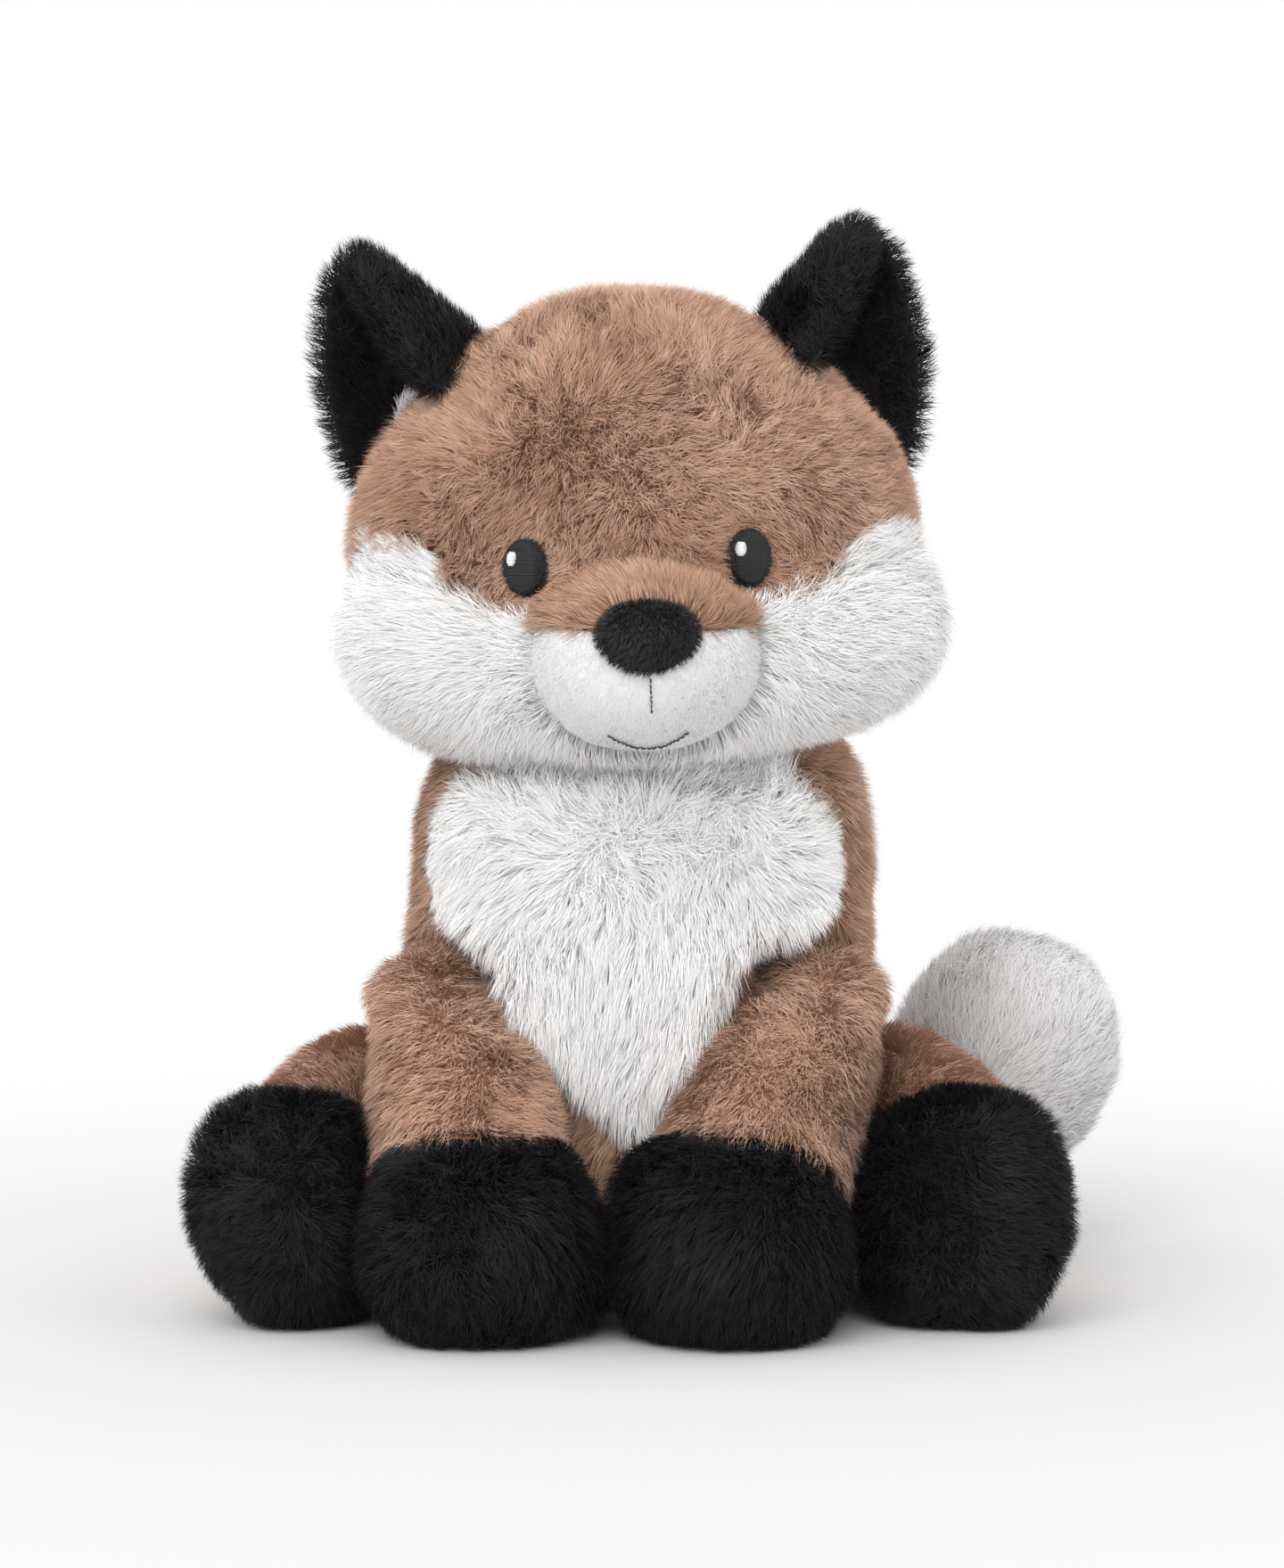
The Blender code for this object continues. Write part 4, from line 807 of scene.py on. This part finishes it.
def set_ear(skin, shift):
    """Leans an ear by this much at its tip and nothing at its root, and lets its outer corner hang."""
    points, _, _ = arrays_of(skin)
    low, high = points[:, 2].min(), points[:, 2].max()
    share = np.clip((points[:, 2] - low) / (high - low), 0, 1)
    outer = np.clip((np.abs(points[:, 0]) - EAR_CORNER_X) / EAR_CORNER_EASE, 0, 1)
    points[:, 2] -= EAR_CORNER_DROP * (1 - share) ** 2 * outer
    moved(skin, points + share[:, None] ** EAR_LEAN_POWER * np.array(shift))


def settle_shoulder(skin):
    """Lets the top of a front leg sag into the chest."""
    points, _, _ = arrays_of(skin)
    inner = np.clip((SHOULDER_INNER_X - np.abs(points[:, 0])) / SHOULDER_EASE, 0, 1)
    inner *= np.clip((points[:, 2] - SHOULDER_SAG_FROM) / SHOULDER_EASE + 0.5, 0, 1)
    points[:, 0] += np.sign(points[:, 0]) * SHOULDER_INNER_SHIFT * inner
    points[:, 1] += SHOULDER_INNER_SHIFT * inner
    over = np.maximum(points[:, 2] - SHOULDER_SAG_FROM, 0)
    points[:, 2] -= over * (1 - SHOULDER_SAG_SHARE)
    points[:, 1] += over * SHOULDER_BACK_SHARE
    moved(skin, points)


def spread_bib(skin):
    """Lets the lower sides of the bib spread over the tops of the front legs."""
    points, _, _ = arrays_of(skin)
    apart = points[:, 0] - BIB_MIDDLE_X
    share = np.clip(1 - np.abs(points[:, 2] - BIB_SPREAD_HEIGHT) / BIB_SPREAD_REACH, 0, 1)
    share = share * share * (3 - 2 * share) * np.clip(np.abs(apart) / BIB_SPREAD_FROM, 0, 1) ** 2
    points[:, 0] += np.sign(apart) * BIB_SPREAD * share
    points[:, 1] -= BIB_SPREAD_FORWARD * share
    moved(skin, points)


def press_foot(skin, meeting, reach, bulge, square, tuck):
    """Squares a foot, swells the side against its neighbour and tucks the far lower corner in."""
    points, _, _ = arrays_of(skin)
    low, high = points.min(0), points.max(0)
    middle, half = (low + high) / 2, (high - low) / 2
    across, up = (points[:, 0] - middle[0]) / half[0], (points[:, 2] - middle[2]) / half[2]
    turn = np.arctan2(up, across)
    wider = (np.abs(np.cos(turn)) ** square + np.abs(np.sin(turn)) ** square) ** (-1 / square)
    wider = 1 + (wider - 1) * np.clip(np.hypot(across, up), 0, 1)
    points[:, 0] = middle[0] + across * half[0] * wider
    points[:, 2] = np.clip(middle[2] + up * half[2] * wider, low[2], high[2])
    apart, away = points[:, 0] - meeting, np.sign(middle[0] - meeting)
    share = np.clip(1 - np.abs(apart) / reach, 0, 1)
    points[:, 0] -= away * bulge * share * share * (3 - 2 * share)
    far = np.clip(across * away, 0, 1) * np.clip(TUCK_FROM_SHARE - up, 0, 1 + TUCK_FROM_SHARE) ** 2
    points[:, 0] -= away * tuck * far
    moved(skin, points)


def shape_skin(node, skin):
    """Gives the node's skin its own small shape, where it has one."""
    if node in FOOT_SHAPES:
        press_foot(skin, *FOOT_SHAPES[node])
    if node in EAR_SHIFTS:
        set_ear(skin, EAR_SHIFTS[node])
    if node == "nose":
        round_nose(skin)
    if node == "chest_bib":
        spread_bib(skin)
    if node.startswith("front_leg"):
        settle_shoulder(skin)


CUFF_REACH = 0.0075
CUFF_SHARE = 0.45
FIRST_SEED = 100
PATCH_SEED_STEP = 50


def cuff_trim(cloth):
    """Shorter pile on a foot near the seam of its leg, whose pile falls over it."""

    def trim(points):
        apart = np.array([cloth.find_nearest(Vector(point))[3] for point in points])
        return np.ones(len(points), bool), CUFF_SHARE + (1 - CUFF_SHARE) * np.clip(apart / CUFF_REACH, 0, 1)

    return trim


def make_forms():
    """Every stuffed form with its pile. Each skin stands for its node."""
    skins = {}
    for node, (_, cloth, (voxel, ease, sink), _, _) in FORMS.items():
        skins[node] = make_skin(node, voxel, ease, sink)
        skins[node].data.materials.append(MATERIALS[cloth][1])
        shape_skin(node, skins[node])
    for seed, (node, (body, cloth, _, pile_style, flow)) in enumerate(FORMS.items(), FIRST_SEED):
        covered = bvh_of([skin for other, skin in skins.items() if other != node])
        pile, skin, trims = MATERIALS[cloth][0], skins[node], trims_of(node)
        if node in FOOT_SHAPES:
            trims.append(cuff_trim(bvh_of([skins[body]])))
        grow_pile(node + "_pile", skin, body, pile, flow, covered, pile_style, seed, trims)
        for name, (on, patch_cloth, patch_style, patch_flow, centre, radii) in PATCHES.items():
            if on == node:
                pile, inside = MATERIALS[patch_cloth][0], [region(centre, radii, True)]
                patch_seed = seed + PATCH_SEED_STEP
                grow_pile(name, skin, body, pile, patch_flow, covered, patch_style, patch_seed, inside)
    for node, skin in skins.items():
        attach(skin, FORMS[node][0])
        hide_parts(node)
    return skins


# Embroidery

THREAD_SIDES = 6
THREAD_SIZE_SHARES = (0.9, 1.1)
THREAD_END_SHARE = 0.4
TWIST_SCALE = 900
TWIST_DISTORTION = 2.5
FLOSS_SPECULAR = 0.35
FLOSS_BUMP = 0.0001
CHARCOAL_TONES = ((0.007, 0.007, 0.009), (0.019, 0.019, 0.023))
WHITE_FLOSS_TONES = ((0.72, 0.72, 0.72), (0.90, 0.90, 0.90))
BLACK_THREAD_TONES = ((0.030, 0.030, 0.032), (0.085, 0.085, 0.09))


def thread_mesh(name, paths, radius, up, rng):
    """Round threads along these paths, each drawn in at both ends."""
    points, faces = [], []
    angles = np.arange(THREAD_SIDES) * 2 * math.pi / THREAD_SIDES
    turns = np.arange(THREAD_SIDES)
    for path in paths:
        path = np.asarray(path)
        way = unit(np.gradient(path, axis=0))
        side = unit(np.cross(way, up))
        rise = np.cross(side, way)
        size = radius * rng.uniform(*THREAD_SIZE_SHARES) * np.ones(len(path))
        size[[0, -1]] *= THREAD_END_SHARE
        ring = np.cos(angles)[None, :, None] * side[:, None] + np.sin(angles)[None, :, None] * rise[:, None]
        start = len(points) * THREAD_SIDES
        points.extend(path[:, None] + ring * size[:, None, None])
        for step in range(len(path) - 1):
            low = start + step * THREAD_SIDES
            for turn in turns:
                after = (turn + 1) % THREAD_SIDES
                high = low + THREAD_SIDES
                faces.append((low + turn, low + after, high + after, high + turn))
        faces.append(tuple(start + turns[::-1]))
        faces.append(tuple(start + (len(path) - 1) * THREAD_SIDES + turns))
    mesh = bpy.data.meshes.new(name)
    mesh.from_pydata(np.concatenate(points).tolist(), [], [tuple(map(int, face)) for face in faces])
    mesh.shade_smooth()
    shape = bmesh.new()
    shape.from_mesh(mesh)
    bmesh.ops.recalc_face_normals(shape, faces=shape.faces)
    shape.to_mesh(mesh)
    shape.free()
    return mesh


def thread_material(name, dark, light, roughness, sheen):
    """Twisted floss: fine strands across the thread in colour and in relief."""
    material, shader, nodes, links = new_material(name, roughness, sheen, FLOSS_SPECULAR)
    where = nodes.new("ShaderNodeTexCoord")
    twist = nodes.new("ShaderNodeTexWave")
    twist.wave_type = "BANDS"
    twist.bands_direction = "DIAGONAL"
    twist.inputs["Scale"].default_value = TWIST_SCALE
    twist.inputs["Distortion"].default_value = TWIST_DISTORTION
    twist.inputs["Detail"].default_value = 2
    links.new(where.outputs["Object"], twist.inputs["Vector"])
    colour = nodes.new("ShaderNodeValToRGB")
    set_ramp(colour, ((0.1, dark), (0.9, light)))
    links.new(twist.outputs["Fac"], colour.inputs["Fac"])
    links.new(colour.outputs["Color"], shader.inputs["Base Color"])
    bump = nodes.new("ShaderNodeBump")
    bump.inputs["Strength"].default_value = 0.5
    bump.inputs["Distance"].default_value = FLOSS_BUMP
    links.new(twist.outputs["Fac"], bump.inputs["Height"])
    links.new(bump.outputs["Normal"], shader.inputs["Normal"])
    return material


def show_on_head(name, mesh, material):
    """A piece of thread that moves with the head."""
    mesh.materials.append(material)
    obj = bpy.data.objects.new(name, mesh)
    bpy.context.scene.collection.objects.link(obj)
    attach(obj, "head")
    return obj


def dome_frame(node):
    """Middle, side, up and outward ways of an embroidered dome, and its half sizes across and up."""
    points, _, _ = arrays_of(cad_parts[node])
    middle = points.mean(0)
    _, _, (up, side, out) = np.linalg.svd(points - middle, full_matrices=False)
    out = -out if out[1] > 0 else out
    up = -up if up[2] < 0 else up
    side = np.cross(up, out)
    flat = (points - middle) @ np.stack([side, up], axis=1)
    return middle, side, up, out, np.abs(flat).max(0)


SATIN_REACH = 0.006
SATIN_POINTS = 9
EDGE_POINTS = 5
EDGE_END_SHARE = 1.05
EDGE_OVERLAP_SHARE = 0.06
# pitch, thread radius, share within the edge, edge stitches, height over the cloth, spread
EYE_SATIN = (0.00044, 0.00026, 0.80, 84, 0.00014, EYE_SPREAD)
LIGHT_SATIN = (0.00036, 0.00022, 0.96, 0, 0.00036, 1.0)


def lay_satin(name, node, ground, material, pitch, radius, edge_share, edge_stitches, raised, spread, rng):
    """Level satin stitches over a dome, with an edge of short stitches that point outward."""
    middle, side, up, out, (half_across, half_up) = dome_frame(node)
    half_across *= spread
    cloth = bvh_of([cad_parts[piece] for piece in ground])

    def settle(across, rise):
        start = Vector(middle + side * across + up * rise + out * SATIN_REACH)
        place = cloth.ray_cast(start, Vector(-out))[0] or cloth.find_nearest(start)[0]
        return np.array(place) + out * raised

    paths = []
    for rise in np.arange(-half_up * edge_share + pitch / 2, half_up * edge_share, pitch):
        reach = half_across * edge_share * math.sqrt(max(0, 1 - (rise / (half_up * edge_share)) ** 2)) + pitch
        rise = rise + rng.normal(0, pitch * 0.07)
        paths.append([settle(across, rise) for across in np.linspace(-reach, reach, SATIN_POINTS)])
    for turn in np.arange(edge_stitches) * 2 * math.pi / max(edge_stitches, 1):
        turn += rng.normal(0, 0.012)
        ends = edge_share - EDGE_OVERLAP_SHARE + rng.normal(0, 0.02), EDGE_END_SHARE + rng.normal(0, 0.025)
        shares = np.linspace(*ends, EDGE_POINTS)
        paths.append([
            settle(half_across * share * math.cos(turn), half_up * share * math.sin(turn)) for share in shares
        ])
    return show_on_head(name, thread_mesh(name, paths, radius, out, rng), material)


def thread_line(node, axis, count):
    """The middle line of a thread's solid, in order along an axis."""
    points, _, _ = arrays_of(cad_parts[node])
    ordered = points[points[:, axis].argsort()]
    return np.array([group.mean(0) for group in np.array_split(ordered, count)])


SEAM_PROUD = 0.0010
STITCH_DIPS = (-0.6, 0.3, 0.7, 0.7, 0.3, -0.6)
# axis, points, length, gap, thread radius, how much lower, how much flatter
NOSE_SEAM = (2, 12, 0.0012, 0.0003, 0.00026, 0, 1.08)
MOUTH_SEAM = (0, 16, 0.0017, 0.0002, 0.00030, 0.0025, 0.82)


def sew_line(name, node, seam, ground, material, rng):
    """Backstitches along a seam line, dipping into the cloth at both ends of each."""
    axis, count, length, gap, radius, lower, flatter = seam
    line = thread_line(node, axis, count)
    line[:, 2] = line[:, 2].min() + (line[:, 2] - line[:, 2].min()) * flatter - lower
    reach = np.concatenate([[0], np.cumsum(np.linalg.norm(np.diff(line, axis=0), axis=1))])
    number = max(1, round(reach[-1] / (length + gap)))
    pitch = reach[-1] / number
    cloth = bvh_of([ground])
    paths = []
    for index in range(number):
        places = np.linspace(index * pitch + gap / 2, (index + 1) * pitch - gap / 2, len(STITCH_DIPS))
        path = np.stack([np.interp(places, reach, line[:, k]) for k in range(3)], axis=1)
        settled = []
        for place, dip in zip(path, STITCH_DIPS):
            near, normal, _, _ = cloth.find_nearest(Vector(place))
            settled.append(np.array(near) + np.array(normal) * (radius * dip + SEAM_PROUD))
        paths.append(settled + rng.normal(0, radius * 0.1, (len(STITCH_DIPS), 3)))
    obj = show_on_head(name, thread_mesh(name, paths, radius, np.array((0, -1, 0)), rng), material)
    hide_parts(node)
    return obj


def embroider(bowl):
    """Eyes and their lights in satin stitch, and the lines under the nose in backstitch."""
    rng = np.random.default_rng(7)
    charcoal = thread_material("charcoal_floss", *CHARCOAL_TONES, 0.45, 0.1)
    white = thread_material("white_floss", *WHITE_FLOSS_TONES, 0.45, 0.2)
    black = thread_material("black_thread", *BLACK_THREAD_TONES, 0.6, 0.2)
    for word, _ in SIDES:
        eye, light = "eye_" + word, "eye_light_" + word
        lay_satin(eye + "_satin", eye, (eye, "head_cover"), charcoal, *EYE_SATIN, rng)
        lay_satin(light + "_satin", light, (light, eye), white, *LIGHT_SATIN, rng)
        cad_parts[eye].data.materials.clear()
        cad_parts[eye].data.materials.append(charcoal)
        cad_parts[light].data.materials.clear()
        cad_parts[light].data.materials.append(white)
    sew_line("nose_stitches", "nose_stitch", NOSE_SEAM, bowl, black, rng)
    sew_line("mouth_stitches", "mouth_stitch", MOUTH_SEAM, bowl, black, rng)


# Pieces inside and under the toy

INNER_BUMP = 0.0005
SEAT_FORM = (0.0012, 2, 0)
SEAT_TONES, SEAT_GRAIN = ((0.24, 0.13, 0.08), (0.34, 0.19, 0.12)), 2600
FIBRE_TONES, FIBRE_GRAIN = ((0.78, 0.78, 0.77), (0.90, 0.90, 0.89)), 700
COTTON_TONES, COTTON_GRAIN = ((0.62, 0.58, 0.50), (0.72, 0.68, 0.60)), 2200


def inner_material(name, tones, grain):
    return skin_material(name, *tones, grain, INNER_BUMP)


def dress_inner_pieces():
    """Woven seat panel, fibre filling, cotton pellet bag and the disc in the neck seam."""
    seat = make_skin("base_panel", *SEAT_FORM)
    seat.data.materials.append(inner_material("seat_cloth", SEAT_TONES, SEAT_GRAIN))
    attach(seat, "torso")
    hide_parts("base_panel")
    finishes = {
        "body_filling": inner_material("fibre_filling", FIBRE_TONES, FIBRE_GRAIN),
        "head_filling": inner_material("fibre_filling_head", FIBRE_TONES, FIBRE_GRAIN),
        "pellet_bag": inner_material("cotton_bag", COTTON_TONES, COTTON_GRAIN),
        "neck_seam_disc": inner_material("seam_cloth", SEAT_TONES, SEAT_GRAIN),
    }
    for node, material in finishes.items():
        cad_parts[node].data.materials.clear()
        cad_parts[node].data.materials.append(material)


bpy.context.scene.view_settings.view_transform = "Standard"
make_camera()
make_world(ROOM_LIGHT)
for sun_values in SUNS:
    make_sun(*sun_values)
make_floor()
SKINS = make_forms()
embroider(SKINS["muzzle_bowl"])
dress_inner_pieces()
